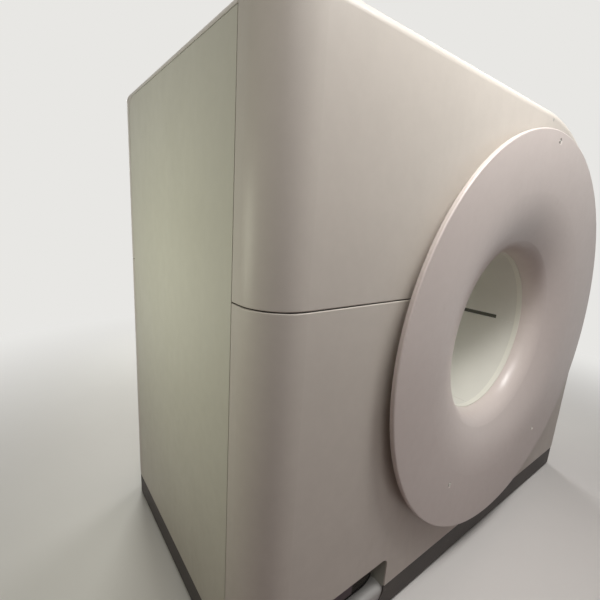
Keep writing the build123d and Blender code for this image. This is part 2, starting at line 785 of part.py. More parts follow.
# Floor plate of the recess, bent down behind the skirt as an apron
with BuildPart() as recess_apron:
    with BuildSketch(Plane.YZ.offset(NOTCH_LEFT - RECESS_T)):
        with BuildLine():
            y0 = deep(SKIRT_SET_IN + SKIRT_T + SEAT_GAP)
            y1 = deep(RECESS_D + RECESS_T)
            z1 = RECESS_FLOOR_Z
            Polyline((y0, z1 - APRON_R), (y0, APRON_Z), (y0 + RECESS_T, APRON_Z),
                     (y0 + RECESS_T, z1 - APRON_R))
            CenterArc((y0 + APRON_R, z1 - APRON_R), APRON_R - RECESS_T, 90, 90)
            Polyline((y0 + APRON_R, z1 - RECESS_T), (y1, z1 - RECESS_T), (y1, z1),
                     (y0 + APRON_R, z1))
            CenterArc((y0 + APRON_R, z1 - APRON_R), APRON_R, 90, 90)
        make_face()
    extrude(amount=NOTCH_W + 2 * RECESS_T)

# Stepped rings between the bell mouths and the tunnel liner
with BuildPart() as front_throat_lip:
    add(throat_lip())
with BuildPart() as rear_throat_lip:
    add(mirror(throat_lip(), about=Plane.XZ, mode=Mode.PRIVATE))

# Tunnel liner: an upper half with the slot for the light lines, and two lower quarters
with BuildPart() as tunnel_liner_top:
    reach = LINER_R + CUT
    gap = LINER_JOINT / 2
    add(liner_piece(BORE_X - reach, BORE_X + reach, LINER_SPLIT_Z + gap, BORE_Z + reach))
    with BuildSketch(Plane.YZ.offset(BORE_X + BORE_R / 2)):
        add(oblong(deep(SLOT_D), deep(SLOT_D + SLOT_L), LINER_SPLIT_Z - CUT, LINER_SPLIT_Z + SLOT_H))
    extrude(amount=BORE_R, mode=Mode.SUBTRACT)
with BuildPart() as tunnel_liner_lower_left:
    add(liner_piece(BORE_X - reach, BORE_X - gap, BORE_Z - reach, LINER_SPLIT_Z - gap))
with BuildPart() as tunnel_liner_lower_right:
    add(liner_piece(BORE_X + gap, BORE_X + reach, BORE_Z - reach, LINER_SPLIT_Z - gap))

# Housing of the positioning lights, close behind the slot
with BuildPart() as positioning_light_bar:
    with BuildSketch(at_depth(SLOT_D)):
        x0 = BORE_X + LINER_R + SEAT_GAP
        half = LIGHT_BAR_H / 2
        add(oblong(x0, x0 + LIGHT_BAR_T, BORE_Z - half, BORE_Z + half))
    extrude(amount=SLOT_L, dir=BACK)

# Frame that carries the covers: a portal at each seam, joined by four rails
with BuildPart() as cover_frame:
    far_inset = FRAME_INSET + TUBE
    for seam_d in (FRONT_COVER_D, REAR_SEAM_D):
        with BuildSketch(at_depth(seam_d - TUBE / 2)):
            add(body_outline(FRAME_INSET, SILL_Z, EDGE_R - FRAME_INSET))
            add(body_outline(far_inset, SILL_Z + TUBE), mode=Mode.SUBTRACT)
        extrude(amount=TUBE, dir=BACK)
    with BuildSketch(at_depth(FRONT_COVER_D)):
        half = TUBE / 2
        add(oblong(XL + FRAME_INSET, XL + far_inset, LEFT_RAIL_Z - half, LEFT_RAIL_Z + half))
        add(oblong(XR - far_inset, XR - FRAME_INSET, RIGHT_RAIL_Z - half, RIGHT_RAIL_Z + half))
        for x in TOP_RAIL_X:
            add(oblong(x - half, x + half, TOP_Z - far_inset, TOP_Z - FRAME_INSET))
    extrude(amount=REAR_SEAM_D - FRONT_COVER_D, dir=BACK)

# Two long beams of the welded base
with BuildPart() as base_frame:
    with BuildSketch(at_depth(BEAM_FRONT_D)):
        half = BEAM_W / 2
        for x, side in zip(BEAM_X, (1, -1)):
            add(oblong(x - half, x + half, FRAME_Z, BEAM_TOP))
            shift = side * BEAM_T
            add(oblong(x - half + shift, x + half + shift, FRAME_Z + BEAM_T, BEAM_TOP - BEAM_T),
                mode=Mode.SUBTRACT)
    extrude(amount=BEAM_REAR_D - BEAM_FRONT_D, dir=BACK)

# Cross members between the long beams, and outriggers that carry the motor and the cabinets
with BuildPart() as base_cross_members:
    for d in CROSS_D:
        with BuildSketch(Plane.YZ.offset(BEAM_X[0] - BEAM_W / 2 + BEAM_T)):
            y0, y1 = deep(d - CROSS_W / 2), deep(d + CROSS_W / 2)
            z0, z1 = FRAME_Z + BEAM_T, BEAM_TOP - BEAM_T
            add(oblong(y0, y1, z0, z1))
            add(oblong(y0 + BEAM_T, y1 - BEAM_T, z0 - CUT, z1 - BEAM_T), mode=Mode.SUBTRACT)
        extrude(amount=BEAM_X[1] - BEAM_X[0] + BEAM_W - 2 * BEAM_T)
    for d in OUTRIGGER_D:
        with BuildSketch(Plane.YZ.offset(OUTRIGGER_END)):
            y0, y1 = deep(d - CROSS_W / 2), deep(d + CROSS_W / 2)
            add(oblong(y0, y1, FRAME_Z, BEAM_TOP))
            add(oblong(y0 + BEAM_T, y1 + CUT, FRAME_Z + BEAM_T, BEAM_TOP - BEAM_T), mode=Mode.SUBTRACT)
        extrude(amount=BEAM_X[0] - BEAM_W / 2 - OUTRIGGER_END)

# Levelling feet under the beam ends and the outer outriggers
with BuildPart() as levelling_feet:
    feet = [(x, deep(d)) for x in BEAM_X for d in (FRONT_COVER_D - FOOT_OFFSET, REAR_SEAM_D + FOOT_OFFSET)]
    feet += [(OUTRIGGER_END + FOOT_R, deep(d)) for d in (OUTRIGGER_D[0], OUTRIGGER_D[-1])]
    with BuildSketch():
        with Locations(*feet):
            Circle(FOOT_R)
    extrude(amount=FOOT_T)
    chamfer(levelling_feet.edges().group_by(Axis.Z)[-1], FOOT_BEVEL)
    with BuildSketch(Plane.XY.offset(FOOT_T)):
        with Locations(*feet):
            Circle(STEM_R)
    extrude(amount=FRAME_Z - FOOT_T)
    with BuildSketch(Plane.XY.offset(FRAME_Z - NUT_H)):
        with Locations(*feet):
            RegularPolygon(NUT_R, 6)
    extrude(amount=NUT_H)

# Upright frame of the X-ray ring
with BuildPart() as stator_frame:
    add(upright_frame(STATOR_D, STATOR_T, STATOR_HOLE_R))

# Outer race of the main bearing, bolted to the upright frame
with BuildPart() as bearing_outer_race:
    with BuildSketch(at_depth(STATOR_D - RACE_L)):
        with Locations(BORE):
            Circle(RACE_OUT_R)
            Circle(OUTER_RACE_R, mode=Mode.SUBTRACT)
    extrude(amount=RACE_L, dir=BACK)

# Inner race, bolted to the rotor
with BuildPart() as bearing_inner_race:
    with BuildSketch(at_depth(RACE_D)):
        with Locations(BORE):
            Circle(INNER_RACE_R)
            Circle(RACE_IN_R, mode=Mode.SUBTRACT)
    extrude(amount=RACE_L, dir=BACK)

# Rollers between the races
with BuildPart() as bearing_rollers:
    with BuildSketch(at_depth(ROLLER_D)):
        with Locations(BORE):
            with PolarLocations(ROLLER_PITCH_R, ROLLERS):
                Circle(ROLLER_R - ROLLER_GAP)
    extrude(amount=ROLLER_L, dir=BACK)

# Cage with one pocket for each roller
with BuildPart() as bearing_cage:
    with BuildSketch(at_depth(ROLLER_D - CAGE_EDGE)):
        with Locations(BORE):
            Circle(ROLLER_PITCH_R + CAGE_T / 2)
            Circle(ROLLER_PITCH_R - CAGE_T / 2, mode=Mode.SUBTRACT)
    extrude(amount=ROLLER_L + 2 * CAGE_EDGE, dir=BACK)
    with BuildSketch(at_depth(ROLLER_D - ROLLER_GAP)):
        with Locations(BORE):
            with PolarLocations(ROLLER_PITCH_R, ROLLERS):
                Circle(ROLLER_R)
    extrude(amount=ROLLER_L + 2 * ROLLER_GAP, dir=BACK, mode=Mode.SUBTRACT)

# Rotor: a drilled disc with a belt rim round it
with BuildPart() as rotor_disc:
    with BuildSketch(at_depth(ROTOR_D)):
        with Locations(BORE):
            Circle(ROTOR_OUT_R)
            Circle(ROTOR_IN_R, mode=Mode.SUBTRACT)
            with PolarLocations(ROTOR_HOLE_PITCH_R, ROTOR_HOLES, start_angle=15):
                Circle(ROTOR_HOLE_R, mode=Mode.SUBTRACT)
    extrude(amount=ROTOR_T, dir=BACK)
    with BuildSketch(at_depth(ROTOR_D - RIM_OVERHANG)):
        with Locations(BORE):
            Circle(ROTOR_OUT_R)
            Circle(ROTOR_OUT_R - RIM_T, mode=Mode.SUBTRACT)
    extrude(amount=ROTOR_T + 2 * RIM_OVERHANG, dir=BACK)

# Slip ring with sunk contact tracks, behind the inner race
with BuildPart() as slip_ring:
    slip_d = RACE_D + RACE_L
    with BuildSketch(at_depth(slip_d)):
        with Locations(BORE):
            Circle(SLIP_RING_R)
            Circle(ROTOR_IN_R, mode=Mode.SUBTRACT)
    extrude(amount=SLIP_RING_L, dir=BACK)
    pitch = SLIP_RING_L / TRACKS
    for k in range(TRACKS):
        with BuildSketch(at_depth(slip_d + (k + 0.5) * pitch - TRACK_W / 2)):
            with Locations(BORE):
                Circle(SLIP_RING_R + CUT)
                Circle(SLIP_RING_R - TRACK_SINK, mode=Mode.SUBTRACT)
        extrude(amount=TRACK_W, dir=BACK, mode=Mode.SUBTRACT)

# Brush block on the upright frame, close round the slip ring
with BuildPart() as brush_block:
    with BuildSketch(at_depth(STATOR_D + STATOR_T)):
        x1 = BORE_X - SLIP_RING_R + CUT
        add(oblong(x1 - BRUSH_T, x1, BORE_Z - BRUSH_W / 2, BORE_Z + BRUSH_W / 2))
        with Locations(BORE):
            Circle(SLIP_RING_R + BRUSH_GAP, mode=Mode.SUBTRACT)
    extrude(amount=BRUSH_L, dir=BACK)

# X-ray tube housing at the top of the rotor, with its two cable sockets
with BuildPart() as xray_tube:
    tube = around_bore(TUBE_PITCH_R, 0)
    tube_d = ROTOR_D - TUBE_L
    with BuildSketch(at_depth(tube_d)):
        with Locations(tube):
            Circle(TUBE_R)
    extrude(amount=TUBE_L, dir=BACK)
    fillet(xray_tube.edges().group_by(Axis.Y)[0], TUBE_ROUND)
    with BuildSketch(at_depth(ROTOR_D - TUBE_SEAT_T)):
        add(radial_block(TUBE_PITCH_R - TUBE_R, TUBE_PITCH_R, 2 * TUBE_R, 0))
    extrude(amount=TUBE_SEAT_T, dir=BACK)
    with BuildSketch(at_depth(tube_d - SOCKET_L)):
        with Locations(tube):
            with GridLocations(SOCKET_SPACING, 0, 2, 1):
                Circle(SOCKET_R)
    extrude(amount=SOCKET_L + CUT, dir=BACK)

# Collimator between the tube and the bore, with its slit
with BuildPart() as collimator:
    outer_r = TUBE_PITCH_R - TUBE_R - SEAT_GAP
    with BuildSketch(at_depth(ROTOR_D - COLLIMATOR_L)):
        add(radial_block(outer_r - COLLIMATOR_T, outer_r, COLLIMATOR_W, 0))
    extrude(amount=COLLIMATOR_L, dir=BACK)
    with BuildSketch(at_depth(ROTOR_D - (COLLIMATOR_L + SLIT_L) / 2)):
        add(radial_block(outer_r - COLLIMATOR_T - CUT, outer_r + CUT, SLIT_W, 0))
    extrude(amount=SLIT_L, dir=BACK, mode=Mode.SUBTRACT)

# Detector arc opposite the tube, a trough open towards the bore
with BuildPart() as detector_arc:
    with BuildSketch(at_depth(ROTOR_D - ARC_L)):
        add(sector(ARC_IN_R, ARC_OUT_R, 180, ARC_HALF_ANGLE))
    extrude(amount=ARC_L, dir=BACK)
    with BuildSketch(at_depth(ROTOR_D - ARC_L + ARC_WALL)):
        wall_angle = degrees(ARC_WALL / ARC_IN_R)
        add(sector(ARC_IN_R - CUT, ARC_IN_R + ARC_WALL, 180, ARC_HALF_ANGLE - wall_angle))
    extrude(amount=ARC_L - 2 * ARC_WALL, dir=BACK, mode=Mode.SUBTRACT)

# High-voltage tanks at both sides of the rotor
for angle, name in ((90, "hv_tank_right"), (-90, "hv_tank_left")):
    with BuildPart() as hv_tank:
        with BuildSketch(at_depth(ROTOR_D - TANK_L)):
            add(radial_block(TANK_IN_R, TANK_OUT_R, TANK_W, angle))
        extrude(amount=TANK_L, dir=BACK)
        fillet(hv_tank.edges().filter_by(Axis.Y), TANK_ROUND)
    save(hv_tank, name)

# Oil cooler of the tube, with a well and a spindle for its fan
with BuildPart() as tube_cooler:
    well = around_bore(COOLER_PITCH_R, COOLER_ANGLE)
    half = COOLER_SIZE / 2
    with BuildSketch(at_depth(ROTOR_D - COOLER_L)):
        add(radial_block(COOLER_PITCH_R - half, COOLER_PITCH_R + half, COOLER_SIZE, COOLER_ANGLE))
        with Locations(well):
            Circle(WELL_R, mode=Mode.SUBTRACT)
            Circle(SPINDLE_R)
    extrude(amount=WELL_L, dir=BACK)
    with BuildSketch(at_depth(ROTOR_D - COOLER_L + WELL_L)):
        add(radial_block(COOLER_PITCH_R - half, COOLER_PITCH_R + half, COOLER_SIZE, COOLER_ANGLE))
    extrude(amount=COOLER_L - WELL_L, dir=BACK)

# Fan of the cooler
with BuildPart() as cooler_fan:
    fan_d = ROTOR_D - COOLER_L + (WELL_L - COOLER_FAN_L) / 2
    hub = Plane(origin=(well[0], deep(fan_d), well[1]), z_dir=BACK)
    add(fan_wheel(hub, COOLER_FAN_R, COOLER_FAN_L))

# Control box of the rotor
with BuildPart() as rotor_controller:
    with BuildSketch(at_depth(ROTOR_D - CONTROLLER_L)):
        add(radial_block(COOLER_PITCH_R - half, COOLER_PITCH_R + half, COOLER_SIZE, CONTROLLER_ANGLE))
    extrude(amount=CONTROLLER_L, dir=BACK)
    fillet(rotor_controller.edges().filter_by(Axis.Y), TANK_ROUND)

# Balance weights beside the detector arc
with BuildPart() as balance_weights:
    with BuildSketch(at_depth(ROTOR_D - WEIGHT_L)):
        for angle in WEIGHT_ANGLES:
            add(radial_block(WEIGHT_IN_R, WEIGHT_OUT_R, WEIGHT_W, angle))
    extrude(amount=WEIGHT_L, dir=BACK)

# Finned drive motor, bored for its shaft
with BuildPart() as drive_motor:
    with BuildSketch(at_depth(MOTOR_D)):
        with Locations(PULLEY):
            Circle(MOTOR_R)
            with PolarLocations(MOTOR_R, FINS):
                Rectangle(2 * FIN_H, FIN_T)
    extrude(amount=MOTOR_L, dir=BACK)
    with BuildSketch(at_depth(MOTOR_D)):
        with Locations(PULLEY):
            Circle(SHAFT_R + SHAFT_FIT)
    extrude(amount=SHAFT_L, dir=BACK, mode=Mode.SUBTRACT)

# Cradle that stands on the front outrigger and holds the motor
with BuildPart() as motor_mount:
    with BuildSketch(at_depth(OUTRIGGER_D[0] - CROSS_W / 2)):
        half = MOUNT_W / 2
        add(oblong(PULLEY[0] - half, PULLEY[0] + half, BEAM_TOP, BEAM_TOP + MOUNT_H))
        with Locations(PULLEY):
            Circle(MOTOR_R + FIN_H + SEAT_GAP, mode=Mode.SUBTRACT)
    extrude(amount=CROSS_W, dir=BACK)

# Motor shaft
with BuildPart() as motor_shaft:
    with BuildSketch(at_depth(BELT_D)):
        with Locations(PULLEY):
            Circle(SHAFT_R)
    extrude(amount=SHAFT_L, dir=BACK)

# Flanged pulley on the shaft
with BuildPart() as motor_pulley:
    edge = PULLEY_FLANGE_T + 2 * BELT_GAP
    for r, d, length in (
        (PULLEY_FLANGE_R, BELT_D - edge, PULLEY_FLANGE_T),
        (PULLEY_R, BELT_D - edge, BELT_W + 2 * edge),
        (PULLEY_FLANGE_R, BELT_D + BELT_W + 2 * BELT_GAP, PULLEY_FLANGE_T),
    ):
        with BuildSketch(at_depth(d)):
            with Locations(PULLEY):
                Circle(r)
                Circle(SHAFT_R + SHAFT_FIT / 2, mode=Mode.SUBTRACT)
        extrude(amount=length, dir=BACK)

# Belt round the rotor's rim and the pulley
with BuildPart() as drive_belt:
    with BuildSketch(at_depth(BELT_D)):
        add(belt_path(BELT_GAP + BELT_T))
        add(belt_path(BELT_GAP), mode=Mode.SUBTRACT)
    extrude(amount=BELT_W, dir=BACK)

# Upright frame and drum of the gamma detector ring
with BuildPart() as ring_frame:
    drum_d = RING_FRAME_D + RING_FRAME_T
    add(upright_frame(RING_FRAME_D, RING_FRAME_T, RING_HOLE_R))
    with BuildSketch(at_depth(drum_d)):
        with Locations(BORE):
            Circle(DRUM_R)
            Circle(DRUM_R - DRUM_T, mode=Mode.SUBTRACT)
    extrude(amount=DRUM_L, dir=BACK)

# Detector modules round the inside of the drum
seat_r = DRUM_R - DRUM_T - SEAT_GAP
with BuildPart() as detector_modules:
    with BuildSketch(at_depth(MODULE_D)):
        half_angle = 180 / MODULES - degrees(MODULE_GAP / 2 / MODULE_IN_R)
        for k in range(MODULES):
            add(sector(MODULE_IN_R, seat_r, 360 * k / MODULES, half_angle))
    extrude(amount=MODULE_L, dir=BACK)

# Ring shields before and behind the modules
for depth, name in ((drum_d, "front_shield"), (drum_d + DRUM_L - SHIELD_T, "rear_shield")):
    with BuildPart() as shield:
        with BuildSketch(at_depth(depth)):
            with Locations(BORE):
                Circle(seat_r)
                Circle(SHIELD_IN_R, mode=Mode.SUBTRACT)
        extrude(amount=SHIELD_T, dir=BACK)
    save(shield, name)

# Cabinets on the rear outriggers, one on the other
with BuildPart() as power_cabinet:
    add(cabinet(BEAM_TOP, POWER_H))
with BuildPart() as electronics_cabinet:
    add(cabinet(BEAM_TOP + POWER_H, ELECTRONICS_H))

# Square frames of the two exhaust fans, each with a spider and a spindle
fan_depths = (VENT_D - FAN_PITCH / 2, VENT_D + FAN_PITCH / 2)
with BuildPart() as exhaust_fan_frames:
    spots = [(VENT_X, deep(d)) for d in fan_depths]
    with BuildSketch(Plane.XY.offset(FAN_TOP_Z)):
        with Locations(*spots):
            Rectangle(FAN_SIZE, FAN_SIZE)
            Circle(FAN_DUCT_R, mode=Mode.SUBTRACT)
    extrude(amount=-FAN_L)
    with BuildSketch(Plane.XY.offset(FAN_TOP_Z - FAN_L)):
        with Locations(*spots):
            Circle(FAN_HUB_R)
            Rectangle(FAN_SIZE, SPIDER_ARM_W)
            Rectangle(SPIDER_ARM_W, FAN_SIZE)
    extrude(amount=SPIDER_T)
    with BuildSketch(Plane.XY.offset(FAN_TOP_Z - FAN_L)):
        with Locations(*spots):
            Circle(SPINDLE_R)
    extrude(amount=FAN_L - SPIDER_T)

# Wheels of the exhaust fans
for k, d in enumerate(fan_depths, start=1):
    with BuildPart() as exhaust_fan:
        base_z = FAN_TOP_Z - FAN_L + SPIDER_T + SEAT_GAP
        add(fan_wheel(Plane((VENT_X, deep(d), base_z)), FAN_R, FAN_WHEEL_L))
    save(exhaust_fan, f"exhaust_fan_{k}")

save(front_bell_mouth, "front_bell_mouth")
save(front_bell_screws, "front_bell_screws")
save(rear_bell_mouth, "rear_bell_mouth")
save(rear_bell_screws, "rear_bell_screws")
save(front_cover_upper, "front_cover_upper")
save(front_cover_lower, "front_cover_lower")
save(cover_lock, "cover_lock")
save(side_panel_left, "side_panel_left")
save(side_panel_right, "side_panel_right")
save(top_cover, "top_cover")
save(top_vent_grille, "top_vent_grille")
save(skirt_front, "skirt_front")
save(skirt_left, "skirt_left")
save(skirt_right, "skirt_right")
save(skirt_rear, "skirt_rear")
save(recess_liner, "recess_liner")
save(recess_apron, "recess_apron")
save(front_throat_lip, "front_throat_lip")
save(rear_throat_lip, "rear_throat_lip")
save(tunnel_liner_top, "tunnel_liner_top")
save(tunnel_liner_lower_left, "tunnel_liner_lower_left")
save(tunnel_liner_lower_right, "tunnel_liner_lower_right")
save(positioning_light_bar, "positioning_light_bar")
save(cover_frame, "cover_frame")
save(base_frame, "base_frame")
save(base_cross_members, "base_cross_members")
save(levelling_feet, "levelling_feet")
save(stator_frame, "stator_frame")
save(bearing_outer_race, "bearing_outer_race")
save(bearing_inner_race, "bearing_inner_race")
save(bearing_rollers, "bearing_rollers")
save(bearing_cage, "bearing_cage")
save(rotor_disc, "rotor_disc")
save(slip_ring, "slip_ring")
save(brush_block, "brush_block")
save(xray_tube, "xray_tube")
save(collimator, "collimator")
save(detector_arc, "detector_arc")
save(tube_cooler, "tube_cooler")
save(cooler_fan, "cooler_fan")
save(rotor_controller, "rotor_controller")
save(balance_weights, "balance_weights")
save(drive_motor, "drive_motor")
save(motor_mount, "motor_mount")
save(motor_shaft, "motor_shaft")
save(motor_pulley, "motor_pulley")
save(drive_belt, "drive_belt")
save(ring_frame, "ring_frame")
save(detector_modules, "detector_modules")
save(power_cabinet, "power_cabinet")
save(electronics_cabinet, "electronics_cabinet")
save(exhaust_fan_frames, "exhaust_fan_frames")
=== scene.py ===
"""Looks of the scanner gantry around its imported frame: finishes, fittings, light and camera."""

import json
import math

import bmesh
import bpy
from mathutils import Matrix, Vector


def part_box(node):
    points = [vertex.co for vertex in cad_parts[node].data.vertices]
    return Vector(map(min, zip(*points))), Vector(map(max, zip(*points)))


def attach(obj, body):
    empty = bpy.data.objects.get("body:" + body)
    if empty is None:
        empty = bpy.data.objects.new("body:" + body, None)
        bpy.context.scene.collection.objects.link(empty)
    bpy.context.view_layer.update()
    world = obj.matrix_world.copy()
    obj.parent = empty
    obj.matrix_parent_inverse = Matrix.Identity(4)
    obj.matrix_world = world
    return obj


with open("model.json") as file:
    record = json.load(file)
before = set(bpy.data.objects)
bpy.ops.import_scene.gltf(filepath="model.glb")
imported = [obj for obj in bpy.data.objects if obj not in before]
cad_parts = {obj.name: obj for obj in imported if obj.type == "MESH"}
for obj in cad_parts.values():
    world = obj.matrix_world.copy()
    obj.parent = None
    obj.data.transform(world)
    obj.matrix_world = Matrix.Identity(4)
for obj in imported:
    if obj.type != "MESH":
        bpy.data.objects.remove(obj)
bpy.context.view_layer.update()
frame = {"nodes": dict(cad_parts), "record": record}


def low(node, axis):
    """Lowest place of a solid along an axis, 0 to 2, in metres."""
    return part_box(node)[0][axis]


def high(node, axis):
    """Highest place of a solid along an axis, in metres."""
    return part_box(node)[1][axis]


# Sizes of the gantry, in metres, read from its solids
BORE_X = (low("front_bell_mouth", 0) + high("front_bell_mouth", 0)) / 2
BORE_Z = (low("front_bell_mouth", 2) + high("front_bell_mouth", 2)) / 2
FRONT_Y, REAR_Y = low("front_cover_lower", 1), high("rear_cover_lower", 1)
LEFT_X, RIGHT_X = low("side_panel_left", 0), high("side_panel_right", 0)
TOP_Z, SKIRT_TOP = high("top_cover", 2), low("side_panel_left", 2)
SPLIT_Z = (high("front_cover_lower", 2) + low("front_cover_upper", 2)) / 2
SEAM = low("front_cover_upper", 2) - high("front_cover_lower", 2)
FRONT_SEAM_Y = (high("front_cover_lower", 1) + low("side_panel_left", 1)) / 2
REAR_SEAM_Y = (low("rear_cover_lower", 1) + high("side_panel_left", 1)) / 2
ARCH_R = RIGHT_X - BORE_X
ARCH_Z = TOP_Z - ARCH_R

# Sizes that the boxes of the solids don't give
BORE_R, CORNER_R, EDGE_R, SMALL_R = 0.350, 0.115, 0.030, 0.006
SLOT_LOW, SLOT_H = 0.008, 0.019
FRONT_HOLE_R, REAR_HOLE_R = 0.600, 0.460


class Reading:
    """A value read from a node. Arithmetic on it adds Math nodes beside that node."""

    def __init__(self, nodes, socket):
        self.nodes, self.socket = nodes, socket

    def math(self, operation, *values):
        return self.nodes.node("ShaderNodeMath", {"operation": operation}, dict(enumerate(values)))

    def __add__(self, other):
        return self.math("ADD", self, other)

    def __sub__(self, other):
        return self.math("SUBTRACT", self, other)

    def __rsub__(self, other):
        return self.math("SUBTRACT", other, self)

    def __mul__(self, other):
        return self.math("MULTIPLY", self, other)

    __radd__ = __add__
    __rmul__ = __mul__

    def sine(self):
        return self.math("SINE", self)

    def or_more(self, other):
        return self.math("MAXIMUM", self, other)

    def between(self, start, end):
        """Smooth rise from 0 to 1 as the value goes from start to end."""
        return self.nodes.node("ShaderNodeMapRange", {"interpolation_type": "SMOOTHSTEP"},
                               {"Value": self, "From Min": start, "From Max": end})


class Nodes:
    """The nodes of one material or of the world."""

    def __init__(self, tree):
        self.tree = tree
        tree.nodes.clear()

    def feed(self, socket, value):
        """Link a reading to a socket, or write a plain value in it."""
        if isinstance(value, Reading):
            self.tree.links.new(value.socket, socket)
        else:
            socket.default_value = value

    def node(self, kind, settings=None, inputs=None, output=0):
        """Any node: its settings first, then the values or links of its sockets."""
        made = self.tree.nodes.new(kind)
        for key, value in (settings or {}).items():
            setattr(made, key, value)
        for key, value in (inputs or {}).items():
            self.feed(made.inputs[key], value)
        return Reading(self, made.outputs[output]) if made.outputs else None

    def vector(self, operation, *values, output="Vector"):
        return self.node("ShaderNodeVectorMath", {"operation": operation},
                         dict(enumerate(values)), output)

    def shown(self):
        """1 where the camera sees a place, also in metal or glass, 0 where it only gives light."""
        camera_ray, glossy_ray, clear_ray = [
            self.node("ShaderNodeLightPath", output=f"Is {kind} Ray")
            for kind in ("Camera", "Glossy", "Transmission")]
        return camera_ray.or_more(glossy_ray).or_more(clear_ray)


class Finish(Nodes):
    """A procedural material: one shader and the nodes that feed it."""

    def __init__(self, name, **shader):
        self.material = bpy.data.materials.new(name)
        self.material.use_nodes = True
        super().__init__(self.material.node_tree)
        self.surface = self.node("ShaderNodeBsdfPrincipled")
        self.shader = self.surface.socket.node
        self.output = self.tree.nodes.new("ShaderNodeOutputMaterial")
        self.feed(self.output.inputs["Surface"], self.surface)
        self.set(**shader)

    def set(self, **values):
        """Set or link the shader's sockets: base_color is Base Color."""
        for name, value in values.items():
            title = name.replace("_", " ").title().replace("Ior", "IOR")
            self.feed(self.shader.inputs[title], value)

    def place(self):
        """Place on the object, in metres."""
        return self.node("ShaderNodeTexCoord", output="Object")

    def axis(self, name):
        """X, Y or Z of the place."""
        return self.node("ShaderNodeSeparateXYZ", inputs={0: self.place()}, output=name)

    def radius(self):
        """Distance from the bore axis."""
        across = self.vector("MULTIPLY_ADD", self.place(), (1, 0, 1), (-BORE_X, 0, -BORE_Z))
        return self.vector("LENGTH", across, output="Value")

    def noise(self, scale, detail=2.0, roughness=0.5, stretch=(1, 1, 1)):
        """Noise with about this many features a metre, drawn out along the small stretches."""
        drawn = self.vector("MULTIPLY", self.place(), stretch)
        return self.node("ShaderNodeTexNoise", None, {"Vector": drawn, "Scale": scale,
                                                      "Detail": detail, "Roughness": roughness})

    def cells(self, scale):
        """Distance to the middle of the nearest cell, 0 to about 1."""
        return self.node("ShaderNodeTexVoronoi", None,
                         {"Vector": self.place(), "Scale": scale}, "Distance")

    def blend(self, factor, first, second):
        """Mix of two colours. They are sockets 6 and 7 of a Mix node, and its output 2."""
        return self.node("ShaderNodeMix", {"data_type": "RGBA"},
                         {0: factor, 6: first, 7: second}, 2)

    def soft_edges(self, width):
        """Normal that rounds every edge over this width."""
        return self.node("ShaderNodeBevel", {"samples": 8}, {"Radius": width})

    def edge_wear(self, rounded):
        """1 on worn edges, 0 on flat faces."""
        true_normal = self.node("ShaderNodeNewGeometry", output="Normal")
        turned = self.vector("DOT_PRODUCT", rounded, true_normal, output="Value")
        return (1 - turned).between(0.004, 0.12)

    def bump(self, height, distance, rounded):
        """Normal of a relief that is this deep, in metres, on top of the rounded edges."""
        return self.node("ShaderNodeBump", None,
                         {"Height": height, "Distance": distance, "Normal": rounded})


def colour(red, green, blue):
    """Colour written as it shows on a screen, from 0 to 255."""
    parts = [v / 255 for v in (red, green, blue)]
    return (*[v / 12.92 if v <= 0.04045 else ((v + 0.055) / 1.055) ** 2.4 for v in parts], 1.0)


def shade(base, share):
    """A darker or lighter share of a colour."""
    return (*[v * share for v in base[:3]], 1.0)


def halfway(first, second):
    return (*[(a + b) / 2 for a, b in zip(first, second)],)


def sprayed_paint(name, base, roughness, edge=0.0016, peel=0.00006, dirt=0.0, dull=0.05):
    """Satin paint: faint orange peel, slow mottling, rubbed edges, marks near the floor."""
    finish = Finish(name, coat_roughness=0.25)
    rounded = finish.soft_edges(edge)
    slow = finish.noise(3.2, 3.0, 0.55)
    fine = finish.noise(26.0, 4.0, 0.6)
    cloud = slow.between(0.3, 0.7) * 0.6 + fine.between(0.3, 0.7) * 0.4
    tone = finish.blend(cloud, base, shade(base, 1 - dull))
    if dirt:
        foot = finish.axis("Z").between(0.75, 0.10)
        smear = finish.noise(9.0, 5.0, 0.65, (1, 1, 0.35)).between(0.48, 0.72)
        grime = halfway(shade(base, 0.55), colour(120, 104, 84))
        tone = finish.blend(foot * smear * dirt + foot * (dirt * 0.35), tone, grime)
    worn = finish.edge_wear(rounded) * fine.between(0.45, 0.6) * 0.35
    tone = finish.blend(worn, tone, shade(base, 1.12))
    streaks = finish.noise(40.0, 3.0, 0.6, (1, 1, 0.15)).between(0.35, 0.75)
    skin = finish.noise(330.0, 2.0, 0.45) * 0.8 + finish.noise(1500.0, 1.0, 0.5) * 0.2
    finish.set(base_color=tone, roughness=roughness + streaks * 0.06 + cloud * 0.04,
               coat_weight=0.10 + cloud * 0.06, normal=finish.bump(skin, peel, rounded))
    return finish.material


def moulded_bell(name, base):
    """Large light moulding: very smooth, slightly uneven gloss, a few faint rub marks."""
    finish = Finish(name, coat_roughness=0.18)
    rounded = finish.soft_edges(0.0016)
    slow = finish.noise(2.4, 3.0, 0.5)
    fine = finish.noise(34.0, 4.0, 0.6)
    cloud = slow.between(0.32, 0.68) * 0.7 + fine.between(0.35, 0.65) * 0.3
    tone = finish.blend(cloud, base, shade(base, 0.955))
    rub = finish.noise(14.0, 5.0, 0.7).between(0.62, 0.74)
    tone = finish.blend(rub * 0.06, tone, colour(150, 132, 120))
    tone = finish.blend(finish.edge_wear(rounded) * 0.25, tone, shade(base, 1.08))
    wave = finish.noise(60.0, 1.0, 0.4) * 0.7 + finish.noise(900.0, 2.0, 0.5) * 0.3
    finish.set(base_color=tone, roughness=0.34 + fine.between(0.3, 0.7) * 0.06 + rub * 0.05,
               coat_weight=0.10 + slow * 0.10, normal=finish.bump(wave, 0.00005, rounded))
    return finish.material


